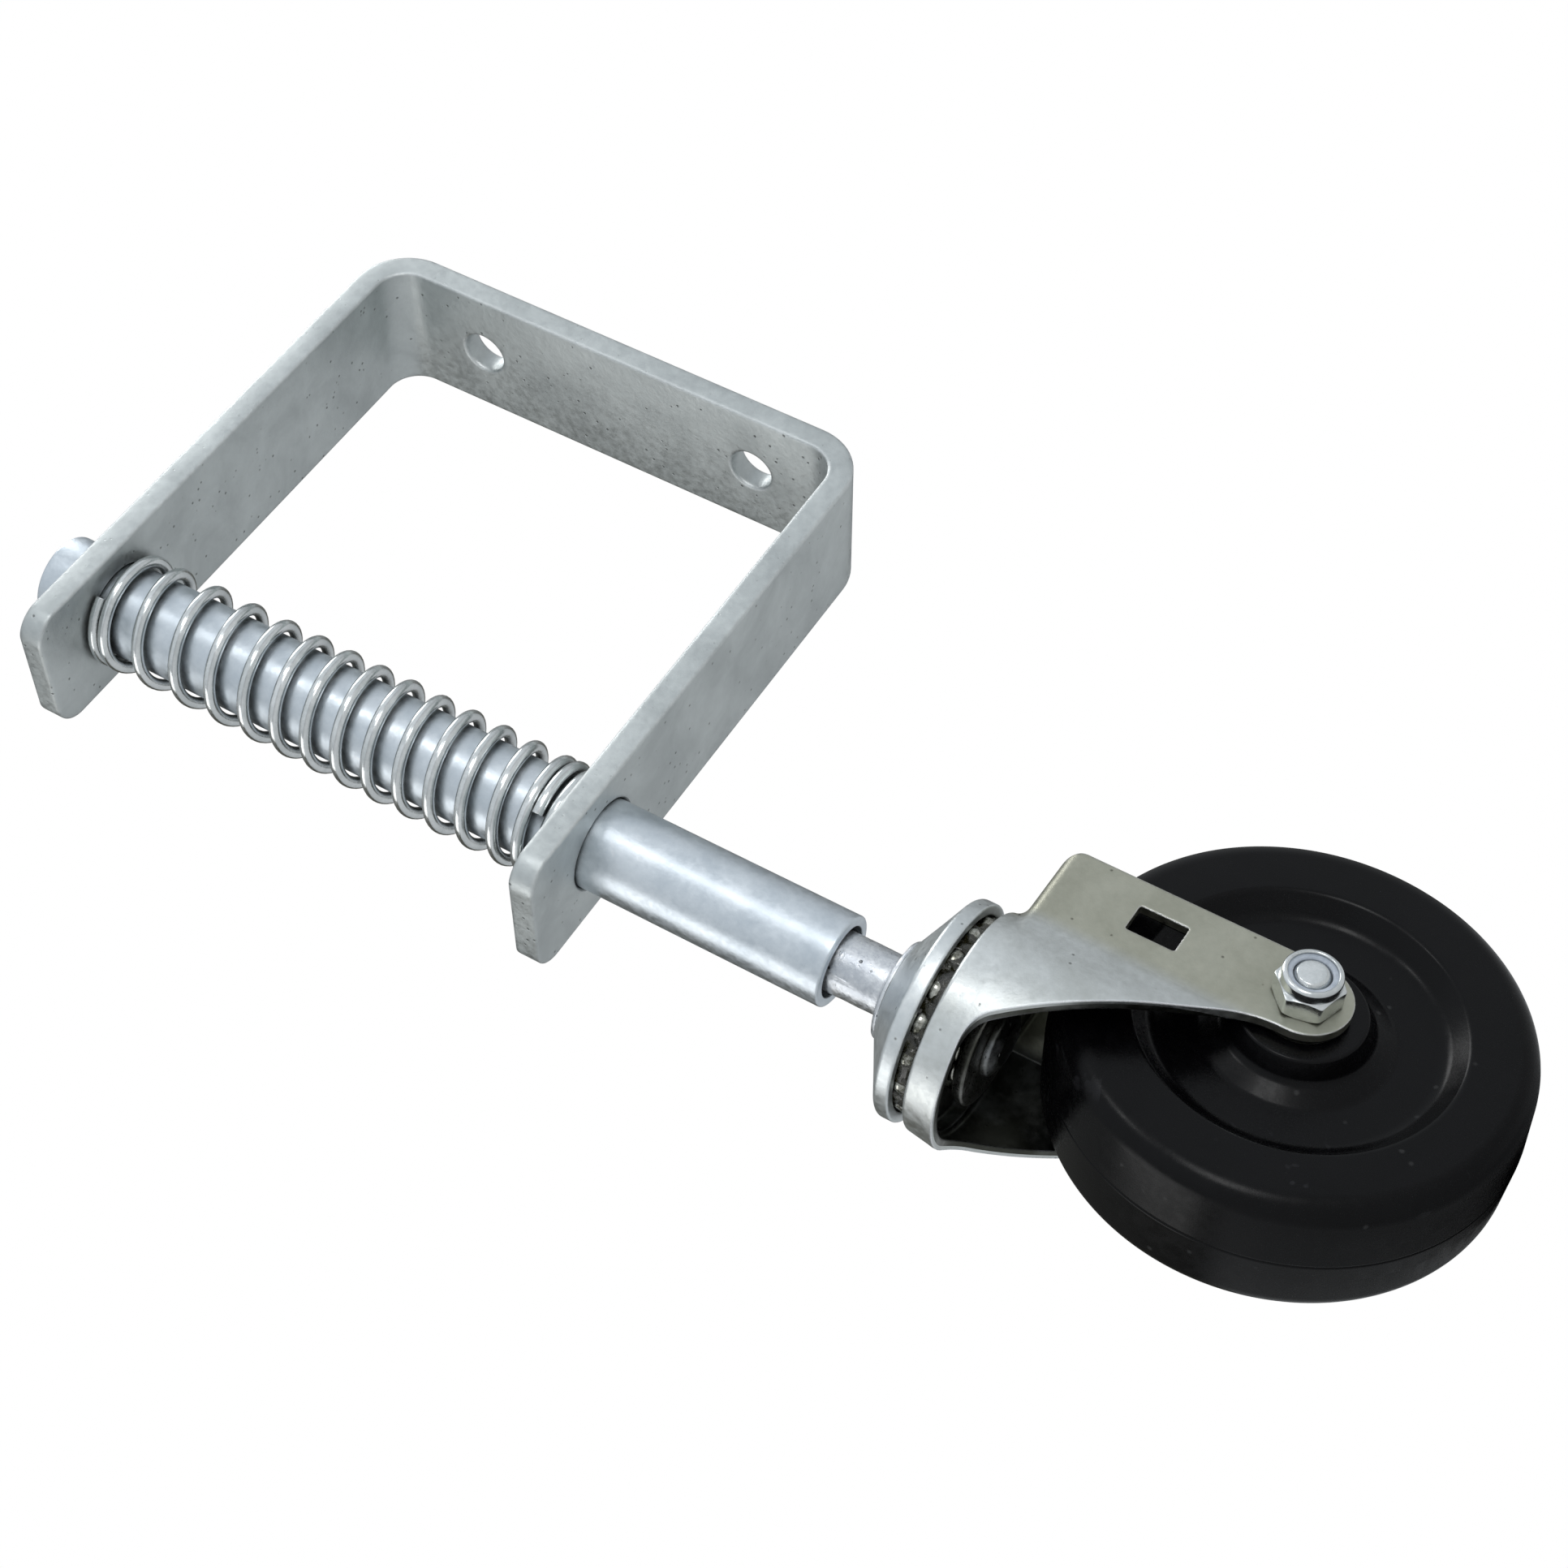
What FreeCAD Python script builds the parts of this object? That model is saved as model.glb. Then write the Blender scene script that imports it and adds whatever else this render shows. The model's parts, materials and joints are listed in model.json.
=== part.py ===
import FreeCAD, Part
import math
import os

# Spring-loaded gate wheel. Millimetres, +Z up along the rod, +Y towards the gate.
# The origin is the centre of the two gate bolt holes, on the outer face of the back plate.

os.makedirs("parts", exist_ok=True)

# ---------------------------------------------------------------- driving dimensions
# U bracket, bent from flat bar
bracket_height = 138.0
rod_reach = 117.0
arm_tip = 26.5
bar_width = 35.0
bar_thickness = 6.0
bend_inner_radius = 8.0
tip_corner_radius = 7.0
gate_hole_spacing = 77.0
gate_hole_diameter = 11.0
bar_edge_break = 0.5

# Tube that slides in the two arms
tube_diameter = 21.3
tube_wall = 2.3
tube_above_arm = 10.7
tube_below_arm = 60.0
tube_rim_chamfer = 0.5
plug_thickness = 3.0
plug_recess = 0.6

# Split wire ring that carries the spring
ring_wire = 4.0
ring_groove_depth = 0.8
ring_gap_angle = 32.0
ring_gap_heading = -65.0

# Compression spring
spring_wire = 2.8
spring_turns = 15.0
closed_turns = 1.0
spring_end_heading = -33.0

# Stem and the sleeve that grips it in the tube
stem_diameter = 14.3
stem_exposed = 12.1
stem_in_tube = 46.0
sleeve_recess = 3.0
sleeve_length = 34.0

# Swivel head: kingpin, cap, two ball races
collar_diameter = 23.6
collar_neck_diameter = 15.4
collar_height = 2.4
collar_rim = 0.8
collar_chamfer = 0.6
cap_diameter = 50.2
cap_cone_drop = 8.0
cap_rim_height = 2.8
cap_thickness = 2.5
cap_edge_radius = 0.8
upper_ball_diameter = 6.35
upper_ball_count = 17
upper_pitch_radius = 19.4
lower_ball_diameter = 4.76
lower_ball_count = 12
lower_pitch_radius = 11.2
race_groove_depth = 0.5
kingpin_diameter = 10.0
kingpin_head_diameter = 16.0
kingpin_head_height = 2.8
kingpin_head_dome = 1.4
kingpin_head_bevel = 3.2
lower_race_diameter = 31.0
lower_race_thickness = 2.4

# Fork, pressed from sheet
fork_thickness = 2.5
boss_radius = 25.0
boss_spread = 1.0
boss_edge_radius = 1.0
boss_inner_edge_radius = 0.5
boss_rise = 3.4
boss_foot_radius = 3.0
crown_radius = 26.0
crown_bore_diameter = 16.0
crown_inner_edge_radius = 1.1
leg_outer_width = 44.8
crease_back = 16.3
crease_radius = 10.0
leg_end_radius = 9.8
trail = 27.0
axle_drop = 61.9
skirt_height = 7.6
skirt_corner_radius = 8.0
front_edge_lean = 34.5
knee_above_axle = 8.1
knee_radius = 20.0
back_corner_radius = 4.5
slot_width = 7.5
slot_length = 11.3
slot_above_axle = 33.2
slot_from_back_edge = 10.2
slot_corner_radius = 0.6
swivel_rest_angle = 7.0

# Wheel
wheel_diameter = 100.0
wheel_width = 33.0
hub_gap = 1.2
hub_face_radius = 13.6
hub_base_radius = 17.8
hub_base_rise = 1.0
web_inner_radius = 19.4
web_outer_radius = 30.6
recess_radius = 35.0
recess_lip_width = 1.5
recess_lip_drop = 0.4
web_depth = 5.0
tread_shoulder_radius = 5.0
tread_crown = 0.9
bushing_diameter = 18.0
bushing_recess = 0.3

# Axle
bolt_diameter = 8.0
sleeve_outer_diameter = 12.6
hex_across_flats = 13.0
hex_chamfer_inset = 0.25
bolt_head_height = 5.3
nut_height = 8.0
nut_hex_height = 5.2
nut_collar_diameter = 12.7
nut_lip = 0.5
bolt_end_recess = 0.3
bolt_end_chamfer = 0.9
insert_diameter = 11.2
insert_height = 2.2
washer_diameter = 17.0

# Named clearances
guide_clearance = 0.25
stop_gap = 0.1
ball_clearance = 0.04
running_clearance = 0.08
bolt_hole_clearance = 0.2
coil_clearance = 0.1
spring_side_gap = 0.55
touch_tolerance = 0.01

# ---------------------------------------------------------------- derived places
arm_outer = bracket_height / 2
arm_inner = arm_outer - bar_thickness
tube_radius = tube_diameter / 2
tube_bore = tube_radius - tube_wall
tube_top = arm_outer + tube_above_arm
tube_bottom = -arm_outer - tube_below_arm
ring_bottom = -arm_inner + stop_gap
ring_centre_radius = tube_radius - ring_groove_depth + ring_wire / 2
ring_top = ring_bottom + ring_wire

collar_top = tube_bottom - stem_exposed
cap_top = collar_top - collar_height
cap_radius = cap_diameter / 2
cone_bottom = cap_top - cap_cone_drop
rim_bottom = cone_bottom - cap_rim_height
cone_angle = math.atan2(cap_cone_drop, cap_radius - collar_diameter / 2)
cone_slope = math.tan(cone_angle)
cone_sheet_drop = cap_thickness / math.cos(cone_angle)

upper_ball_radius = upper_ball_diameter / 2
lower_ball_radius = lower_ball_diameter / 2
cone_under_pitch = cap_top - (upper_pitch_radius - collar_diameter / 2) * cone_slope - cone_sheet_drop
upper_ball_z = cone_under_pitch - (upper_ball_radius + ball_clearance) / math.cos(cone_angle)
crown_top = upper_ball_z - upper_ball_radius - ball_clearance + race_groove_depth
crown_under = crown_top - fork_thickness
lower_ball_z = crown_under + race_groove_depth - ball_clearance - lower_ball_radius
lower_race_top = lower_ball_z - lower_ball_radius - ball_clearance + race_groove_depth
lower_race_bottom = lower_race_top - lower_race_thickness

leg_outer = leg_outer_width / 2
leg_inner = leg_outer - fork_thickness
axle_z = crown_top - axle_drop
leg_back = trail + leg_end_radius
leg_front = trail - leg_end_radius
crown_edge_radius = crown_inner_edge_radius + fork_thickness
shoulder_top = crown_top - boss_rise
boss_foot_z = shoulder_top - crown_edge_radius
boss_foot_wall = boss_radius + boss_spread * boss_rise / (crown_top - boss_foot_z)
skirt_bottom = crown_top - skirt_height

wheel_radius = wheel_diameter / 2
wheel_half = wheel_width / 2
hub_half = leg_inner - hub_gap
axle_sleeve_radius = sleeve_outer_diameter / 2
axle_sleeve_bore = bolt_diameter / 2 + running_clearance
nut_outer = leg_outer + nut_height


def point(x, y, z):
    return FreeCAD.Vector(x, y, z)


UP = point(0, 0, 1)
ALONG_AXLE = point(1, 0, 0)
ORIGIN = point(0, 0, 0)


# ---------------------------------------------------------------- helpers
def on_rod(shape):
    """Move a shape made about its own Z axis on to the rod's axis."""
    return shape.translated(point(0, -rod_reach, 0))


def on_swivel(shape):
    """Turn a fork shape to its rest heading, then put it on the rod's axis."""
    return on_rod(shape.rotated(ORIGIN, UP, swivel_rest_angle))


def on_axle(shape):
    """Put a shape made about the X axis on the wheel's axle."""
    return on_swivel(shape.translated(point(0, trail, axle_z)))


def disc(radius, bottom, top):
    return Part.makeCylinder(radius, top - bottom, point(0, 0, bottom))


def tube(outer, inner, bottom, top):
    return disc(outer, bottom, top).cut(disc(inner, bottom, top))


def rod_x(radius, start, end):
    return Part.makeCylinder(radius, end - start, point(start, 0, 0), ALONG_AXLE)


def tube_x(outer, inner, start, end):
    return rod_x(outer, start, end).cut(rod_x(inner, start, end))


def turned(outline):
    """Revolve a closed outline of (radius, z) corners about Z."""
    corners = [point(radius, 0, z) for radius, z in outline]
    face = Part.Face(Part.makePolygon(corners + corners[:1]))
    return face.revolve(ORIGIN, UP, 360)


def torus(pitch_radius, section_radius, z):
    return Part.makeTorus(pitch_radius, section_radius, point(0, 0, z))


def hexagon_x(start, end):
    """Hexagonal prism along X."""
    corner_radius = hex_across_flats / math.sqrt(3)
    corners = []
    for step in range(6):
        angle = math.radians(60 * step + 30)
        corners.append(point(start, corner_radius * math.cos(angle), corner_radius * math.sin(angle)))
    face = Part.Face(Part.makePolygon(corners + corners[:1]))
    return face.extrude(point(end - start, 0, 0))


def hex_chamfer_x(near, far):
    """Cone that trims the corners of a hexagon from near to its free end at far."""
    direction = 1 if far > near else -1
    height = abs(far - near)
    flat_radius = hex_across_flats / 2 - hex_chamfer_inset
    wide_radius = flat_radius + height * math.sqrt(3)
    return Part.makeCone(wide_radius, flat_radius, height, point(near, 0, 0), point(direction, 0, 0))


def arc_edge(first, middle, last):
    return Part.Arc(first, middle, last).toShape()


def line_edge(first, last):
    return Part.LineSegment(first, last).toShape()


def corner_arc(corner, before, after, radius):
    """First, middle and last point of the arc that rounds a corner between two neighbours."""
    towards_before = (before - corner).normalize()
    towards_after = (after - corner).normalize()
    half_angle = towards_before.getAngle(towards_after) / 2
    reach = radius / math.tan(half_angle)
    inward = (towards_before + towards_after).normalize()
    middle = corner + inward * (radius / math.sin(half_angle) - radius)
    return corner + towards_before * reach, middle, corner + towards_after * reach


def rounded_face(corners):
    """Face inside a closed outline of (corner, radius) pairs; a radius of 0 stays sharp."""
    stretches = []
    for index, (corner, radius) in enumerate(corners):
        before = corners[index - 1][0]
        after = corners[(index + 1) % len(corners)][0]
        if radius > 0:
            stretches.append(corner_arc(corner, before, after, radius))
        else:
            stretches.append((corner, corner, corner))
    edges = []
    for index, (first, middle, last) in enumerate(stretches):
        following = stretches[(index + 1) % len(stretches)][0]
        if (last - first).Length > touch_tolerance:
            edges.append(arc_edge(first, middle, last))
        if (following - last).Length > touch_tolerance:
            edges.append(line_edge(last, following))
    return Part.Face(Part.Wire(edges))


# ---------------------------------------------------------------- bracket and spring
def make_bracket():
    """Bar bent to a U, with rounded arm tips, two guide holes and two gate bolt holes."""
    front = -rod_reach - arm_tip
    outer_radius = bend_inner_radius + bar_thickness
    profile = rounded_face(
        [
            (point(0, front, arm_outer), 0),
            (point(0, 0, arm_outer), outer_radius),
            (point(0, 0, -arm_outer), outer_radius),
            (point(0, front, -arm_outer), 0),
            (point(0, front, -arm_inner), 0),
            (point(0, -bar_thickness, -arm_inner), bend_inner_radius),
            (point(0, -bar_thickness, arm_inner), bend_inner_radius),
            (point(0, front, arm_inner), 0),
        ]
    )
    body = profile.extrude(point(bar_width, 0, 0)).translated(point(-bar_width / 2, 0, 0))
    tip_corners = [
        edge
        for edge in body.Edges
        if edge.BoundBox.YMax < front + touch_tolerance and edge.BoundBox.XLength < touch_tolerance
    ]
    body = body.makeFillet(tip_corner_radius, tip_corners)
    rims = [edge for edge in body.Edges if edge.BoundBox.XMin * edge.BoundBox.XMax > 0]
    rims = [edge for edge in rims if edge.BoundBox.ZLength < touch_tolerance or edge.BoundBox.YMin > front / 2]
    body = body.makeFillet(bar_edge_break, rims)
    body = body.cut(on_rod(disc(tube_radius + guide_clearance, -bracket_height, bracket_height)))
    for side in (-1, 1):
        hole = Part.makeCylinder(
            gate_hole_diameter / 2,
            3 * bar_thickness,
            point(0, -2 * bar_thickness, side * gate_hole_spacing / 2),
            point(0, 1, 0),
        )
        body = body.cut(hole)
    return body


def helix_stretch(pitch, turns, radius, bottom, heading):
    helix = Part.makeHelix(pitch, pitch * turns, radius)
    helix.rotate(ORIGIN, UP, heading)
    helix.translate(point(0, 0, bottom))
    return helix.Edges


def make_spring():
    """Right-hand spring with a closed turn at each end, both wire ends at one heading."""
    radius = tube_radius + spring_side_gap + spring_wire / 2
    low = ring_top + coil_clearance + spring_wire / 2
    high = arm_inner - coil_clearance - spring_wire / 2
    closed_pitch = spring_wire + coil_clearance
    open_turns = spring_turns - 2 * closed_turns
    open_length = high - low - 2 * closed_pitch * closed_turns
    open_low = low + closed_pitch * closed_turns
    stretches = [
        (closed_pitch, closed_turns, low),
        (open_length / open_turns, open_turns, open_low),
        (closed_pitch, closed_turns, open_low + open_length),
    ]
    edges = []
    for pitch, turns, bottom in stretches:
        edges += helix_stretch(pitch, turns, radius, bottom, spring_end_heading)
    path = Part.Wire(edges)
    heading = math.radians(spring_end_heading)
    start = point(radius * math.cos(heading), radius * math.sin(heading), low)
    across = point(-math.sin(heading), math.cos(heading), 0)
    section = Part.Wire(Part.makeCircle(spring_wire / 2, start, across))
    return on_rod(path.makePipeShell([section], True, True))


# ---------------------------------------------------------------- sliding rod
def make_slide_tube():
    chamfer = tube_rim_chamfer
    body = turned(
        [
            (tube_bore, tube_bottom),
            (tube_radius - chamfer, tube_bottom),
            (tube_radius, tube_bottom + chamfer),
            (tube_radius, tube_top - chamfer),
            (tube_radius - chamfer, tube_top),
            (tube_bore, tube_top),
        ]
    )
    return on_rod(body.cut(torus(ring_centre_radius, ring_wire / 2, ring_bottom + ring_wire / 2)))


def make_tube_plug():
    top = tube_top - plug_recess
    return on_rod(disc(tube_bore, top - plug_thickness, top))


def make_retaining_ring():
    """Round-wire ring with one gap, seated in the tube's groove."""
    section = Part.Wire(
        Part.makeCircle(
            ring_wire / 2,
            point(ring_centre_radius, 0, ring_bottom + ring_wire / 2),
            point(0, 1, 0),
        )
    )
    ring = Part.Face(section).revolve(ORIGIN, UP, 360 - ring_gap_angle)
    return on_rod(ring.rotated(ORIGIN, UP, ring_gap_heading + ring_gap_angle / 2))


def make_stem():
    return on_rod(disc(stem_diameter / 2, collar_top, tube_bottom + stem_in_tube))


def make_grip_sleeve():
    bottom = tube_bottom + sleeve_recess
    return on_rod(tube(tube_bore, stem_diameter / 2, bottom, bottom + sleeve_length))


# ---------------------------------------------------------------- swivel head
def make_kingpin():
    """Turned collar above the cap, shank through both races and a peened head."""
    pin = kingpin_diameter / 2
    head = kingpin_head_diameter / 2
    head_bottom = lower_race_bottom - kingpin_head_height
    return on_rod(
        turned(
            [
                (0, head_bottom),
                (head - kingpin_head_bevel, head_bottom),
                (head, head_bottom + kingpin_head_dome),
                (head, lower_race_bottom),
                (pin, lower_race_bottom),
                (pin, cap_top),
                (collar_diameter / 2, cap_top),
                (collar_diameter / 2 - collar_chamfer, cap_top + collar_rim),
                (collar_neck_diameter / 2 + collar_rim, collar_top - collar_chamfer),
                (collar_neck_diameter / 2, collar_top),
                (0, collar_top),
            ]
        )
    )


def make_swivel_cap():
    """Pressed cone with a turned-down rim; the upper balls run under the cone."""
    pin = kingpin_diameter / 2
    collar = collar_diameter / 2
    edge = cap_edge_radius
    inner = cap_radius - cap_thickness
    inner_cone_end = cap_top - (inner - collar) * cone_slope - cone_sheet_drop
    return on_rod(
        turned(
            [
                (pin, cap_top),
                (collar, cap_top),
                (cap_radius - edge, cone_bottom + edge * cone_slope),
                (cap_radius, cone_bottom - edge),
                (cap_radius, rim_bottom),
                (inner, rim_bottom),
                (inner, inner_cone_end),
                (collar, cap_top - cone_sheet_drop),
                (pin, cap_top - cone_sheet_drop),
            ]
        )
    )


def ball_set(count, ball_radius, pitch_radius, z):
    balls = []
    for index in range(count):
        angle = 2 * math.pi * index / count
        centre = point(pitch_radius * math.cos(angle), pitch_radius * math.sin(angle), z)
        balls.append(Part.makeSphere(ball_radius, centre))
    return on_rod(Part.makeCompound(balls))


def make_upper_balls():
    return ball_set(upper_ball_count, upper_ball_radius, upper_pitch_radius, upper_ball_z)


def make_lower_balls():
    return ball_set(lower_ball_count, lower_ball_radius, lower_pitch_radius, lower_ball_z)


def make_lower_race():
    body = tube(lower_race_diameter / 2, kingpin_diameter / 2, lower_race_bottom, lower_race_top)
    return on_rod(body.cut(torus(lower_pitch_radius, lower_ball_radius + ball_clearance, lower_ball_z)))


# ---------------------------------------------------------------- fork
def plan_prism(inset, bottom, top, back, edge_radius):
    """Prism on the fork's plan: a round front, then side facets that meet two flat legs."""
    front_radius = crown_radius - inset
    side = leg_outer - inset
    # The facet is tangent to the round front and meets the leg's outer plane at the crease.
    crease_distance = math.hypot(leg_outer, crease_back)
    facet_angle = math.atan2(crease_back, leg_outer) - math.acos(crown_radius / crease_distance)
    touch = point(
        front_radius * math.cos(facet_angle),
        front_radius * math.sin(facet_angle),
        bottom,
    )
    crease_y = (front_radius - side * math.cos(facet_angle)) / math.sin(facet_angle)
    leg_end = point(side, back, bottom)
    facet_end, crease_middle, leg_start = corner_arc(
        point(side, crease_y, bottom),
        touch,
        leg_end,
        crease_radius + inset,
    )

    def mirrored(place):
        return point(-place.x, place.y, place.z)

    edges = [
        arc_edge(touch, point(0, -front_radius, bottom), mirrored(touch)),
        line_edge(mirrored(touch), mirrored(facet_end)),
        arc_edge(mirrored(facet_end), mirrored(crease_middle), mirrored(leg_start)),
        line_edge(mirrored(leg_start), mirrored(leg_end)),
        line_edge(mirrored(leg_end), leg_end),
        line_edge(leg_end, leg_start),
        arc_edge(leg_start, crease_middle, facet_end),
        line_edge(facet_end, touch),
    ]
    prism = Part.Face(Part.Wire(edges)).extrude(point(0, 0, top - bottom))
    rounded = [
        edge
        for edge in prism.Edges
        if edge.BoundBox.ZMin > top - touch_tolerance and edge.BoundBox.YMin < back - touch_tolerance
    ]
    return prism.makeFillet(edge_radius, rounded)


def is_boss_foot(edge):
    """True for an edge where the boss's wall meets the fork's shoulder."""
    samples = [edge.valueAt(edge.FirstParameter), edge.valueAt(edge.LastParameter)]
    samples.append(edge.valueAt((edge.FirstParameter + edge.LastParameter) / 2))
    on_wall = all(abs(math.hypot(place.x, place.y) - boss_foot_wall) < touch_tolerance for place in samples)
    level = edge.BoundBox.ZMax < shoulder_top + touch_tolerance
    return on_wall and level


def boss_disc(top_radius, foot_radius, bottom, top, edge_radius):
    """Disc with a leaning wall and a rounded upper edge, for the raised middle of the crown."""
    body = turned([(0, bottom), (foot_radius, bottom), (top_radius, top), (0, top)])
    rim = [edge for edge in body.Edges if edge.BoundBox.ZMin > top - touch_tolerance]
    return body.makeFillet(edge_radius, rim)


def side_profile():
    """Fork outline seen along the axle, without the raised boss, as a face in the YZ plane."""
    knee_z = axle_z + knee_above_axle
    corner_y = leg_front - (skirt_bottom - knee_z) * math.tan(math.radians(front_edge_lean))
    leg_low = axle_z - leg_end_radius
    front = -2 * crown_radius
    return rounded_face(
        [
            (point(0, front, shoulder_top), 0),
            (point(0, leg_back, shoulder_top), back_corner_radius),
            (point(0, leg_back, leg_low), leg_end_radius),
            (point(0, leg_front, leg_low), leg_end_radius),
            (point(0, leg_front, knee_z), knee_radius),
            (point(0, corner_y, skirt_bottom), skirt_corner_radius),
            (point(0, front, skirt_bottom), 0),
        ]
    )


def make_fork():
    low = axle_z - 2 * leg_end_radius
    span = 4 * crown_radius
    outline = side_profile().extrude(point(span, 0, 0)).translated(point(-span / 2, 0, 0))
    outer = plan_prism(0, low, shoulder_top, leg_back, crown_edge_radius).common(outline)
    boss = boss_disc(boss_radius, boss_radius + boss_spread, boss_foot_z, crown_top, boss_edge_radius)
    outer = outer.fuse(boss)
    outer = outer.removeSplitter()
    foot = [edge for edge in outer.Edges if is_boss_foot(edge)]
    outer = outer.makeFillet(boss_foot_radius, foot)
    inner = plan_prism(
        fork_thickness,
        low,
        shoulder_top - fork_thickness,
        leg_back + crown_radius,
        crown_inner_edge_radius,
    )
    hollow = boss_radius - fork_thickness
    inner = inner.fuse(boss_disc(hollow, hollow, low, crown_under, boss_inner_edge_radius))
    body = outer.cut(inner)
    body = body.cut(disc(crown_bore_diameter / 2, crown_under, crown_top))
    body = body.cut(torus(upper_pitch_radius, upper_ball_radius + ball_clearance, upper_ball_z))
    body = body.cut(torus(lower_pitch_radius, lower_ball_radius + ball_clearance, lower_ball_z))
    slot_back = leg_back - slot_from_back_edge + slot_width / 2
    slot_front = slot_back - slot_width
    slot_low = axle_z + slot_above_axle - slot_length / 2
    slot_high = slot_low + slot_length
    slot_corners = [
        (point(-span / 2, slot_front, slot_low), slot_corner_radius),
        (point(-span / 2, slot_back, slot_low), slot_corner_radius),
        (point(-span / 2, slot_back, slot_high), slot_corner_radius),
        (point(-span / 2, slot_front, slot_high), slot_corner_radius),
    ]
    body = body.cut(rounded_face(slot_corners).extrude(point(span, 0, 0)))
    axle_hole = rod_x(bolt_diameter / 2 + bolt_hole_clearance, -leg_outer_width, leg_outer_width)
    body = body.cut(axle_hole.translated(point(0, trail, axle_z)))
    return on_swivel(body)


# ---------------------------------------------------------------- wheel and axle
def make_wheel():
    """One-piece wheel, turned about the axle from a half section and its mirror."""
    bore = bushing_diameter / 2
    web = wheel_half - web_depth
    shoulder = tread_shoulder_radius
    crown_x = wheel_half - shoulder
    edge_radius = wheel_radius - tread_crown
    slant = shoulder * (1 - math.sqrt(0.5))
    right = [
        (bore, hub_half),
        (hub_face_radius, hub_half),
        (hub_base_radius, web + hub_base_rise),
        (web_inner_radius, web),
        (web_outer_radius, web),
        (recess_radius, wheel_half - recess_lip_drop),
        (recess_radius + recess_lip_width, wheel_half),
        (edge_radius - shoulder, wheel_half),
    ]
    edges = []

    def place(radius, x):
        return point(x, 0, radius)

    for (radius_a, x_a), (radius_b, x_b) in zip(right, right[1:]):
        edges.append(line_edge(place(radius_a, x_a), place(radius_b, x_b)))
        edges.append(line_edge(place(radius_a, -x_a), place(radius_b, -x_b)))
    for side in (-1, 1):
        face_end = place(edge_radius - shoulder, side * wheel_half)
        tread_end = place(edge_radius, side * crown_x)
        edges.append(arc_edge(face_end, place(edge_radius - slant, side * (wheel_half - slant)), tread_end))
    edges.append(arc_edge(place(edge_radius, crown_x), place(wheel_radius, 0), place(edge_radius, -crown_x)))
    edges.append(line_edge(place(bore, hub_half), place(bore, -hub_half)))
    face = Part.Face(Part.Wire(Part.__sortEdges__(edges)))
    return on_axle(face.revolve(ORIGIN, ALONG_AXLE, 360))


def make_hub_bushing():
    half = hub_half - bushing_recess
    inner = axle_sleeve_radius + running_clearance
    return on_axle(tube_x(bushing_diameter / 2, inner, -half, half))


def make_axle_sleeve():
    return on_axle(tube_x(axle_sleeve_radius, axle_sleeve_bore, -leg_inner, leg_inner))


def washer():
    inner = axle_sleeve_radius + running_clearance
    return tube_x(washer_diameter / 2, inner, hub_half + stop_gap, leg_inner)


def make_hub_washer_right():
    return on_axle(washer())


def make_hub_washer_left():
    return on_axle(washer().mirror(ORIGIN, ALONG_AXLE))


def make_axle_bolt():
    head_end = -leg_outer - bolt_head_height
    shank_end = nut_outer - bolt_end_recess
    head = hexagon_x(head_end, -leg_outer)
    head = head.common(hex_chamfer_x(-leg_outer, head_end))
    shank = rod_x(bolt_diameter / 2, -leg_outer, shank_end - bolt_end_chamfer)
    tip = Part.makeCone(
        bolt_diameter / 2,
        bolt_diameter / 2 - bolt_end_chamfer,
        bolt_end_chamfer,
        point(shank_end - bolt_end_chamfer, 0, 0),
        ALONG_AXLE,
    )
    return on_axle(head.fuse([shank, tip]).removeSplitter())


def make_lock_nut():
    hex_end = leg_outer + nut_hex_height
    body = hexagon_x(leg_outer, hex_end).common(hex_chamfer_x(leg_outer, hex_end))
    body = body.fuse(rod_x(nut_collar_diameter / 2, leg_outer, nut_outer)).removeSplitter()
    body = body.cut(rod_x(bolt_diameter / 2, leg_outer, nut_outer))
    insert_end = nut_outer - nut_lip
    pocket = rod_x(insert_diameter / 2, insert_end - insert_height, insert_end)
    mouth = rod_x(insert_diameter / 2 - nut_lip, insert_end, nut_outer)
    return on_axle(body.cut(pocket).cut(mouth))


def make_nut_insert():
    insert_end = nut_outer - nut_lip
    return on_axle(tube_x(insert_diameter / 2, bolt_diameter / 2, insert_end - insert_height, insert_end))


NODES = {
    "bracket": make_bracket,
    "spring": make_spring,
    "slide_tube": make_slide_tube,
    "tube_plug": make_tube_plug,
    "retaining_ring": make_retaining_ring,
    "stem": make_stem,
    "grip_sleeve": make_grip_sleeve,
    "kingpin": make_kingpin,
    "swivel_cap": make_swivel_cap,
    "lower_race": make_lower_race,
    "upper_balls": make_upper_balls,
    "lower_balls": make_lower_balls,
    "fork": make_fork,
    "axle_bolt": make_axle_bolt,
    "lock_nut": make_lock_nut,
    "nut_insert": make_nut_insert,
    "axle_sleeve": make_axle_sleeve,
    "wheel": make_wheel,
    "hub_bushing": make_hub_bushing,
    "hub_washer_left": make_hub_washer_left,
    "hub_washer_right": make_hub_washer_right,
}

for name, make in NODES.items():
    shape = make()
    shape.exportStep(f"parts/{name}.step")
    solids = len(shape.Solids)
    print(f"{name:18s} solids {solids:2d}  valid {shape.isValid()}  volume {shape.Volume:10.1f} mm3")
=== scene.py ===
import json
import math

import bmesh
import bpy
from mathutils import Matrix, Vector, noise


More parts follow.
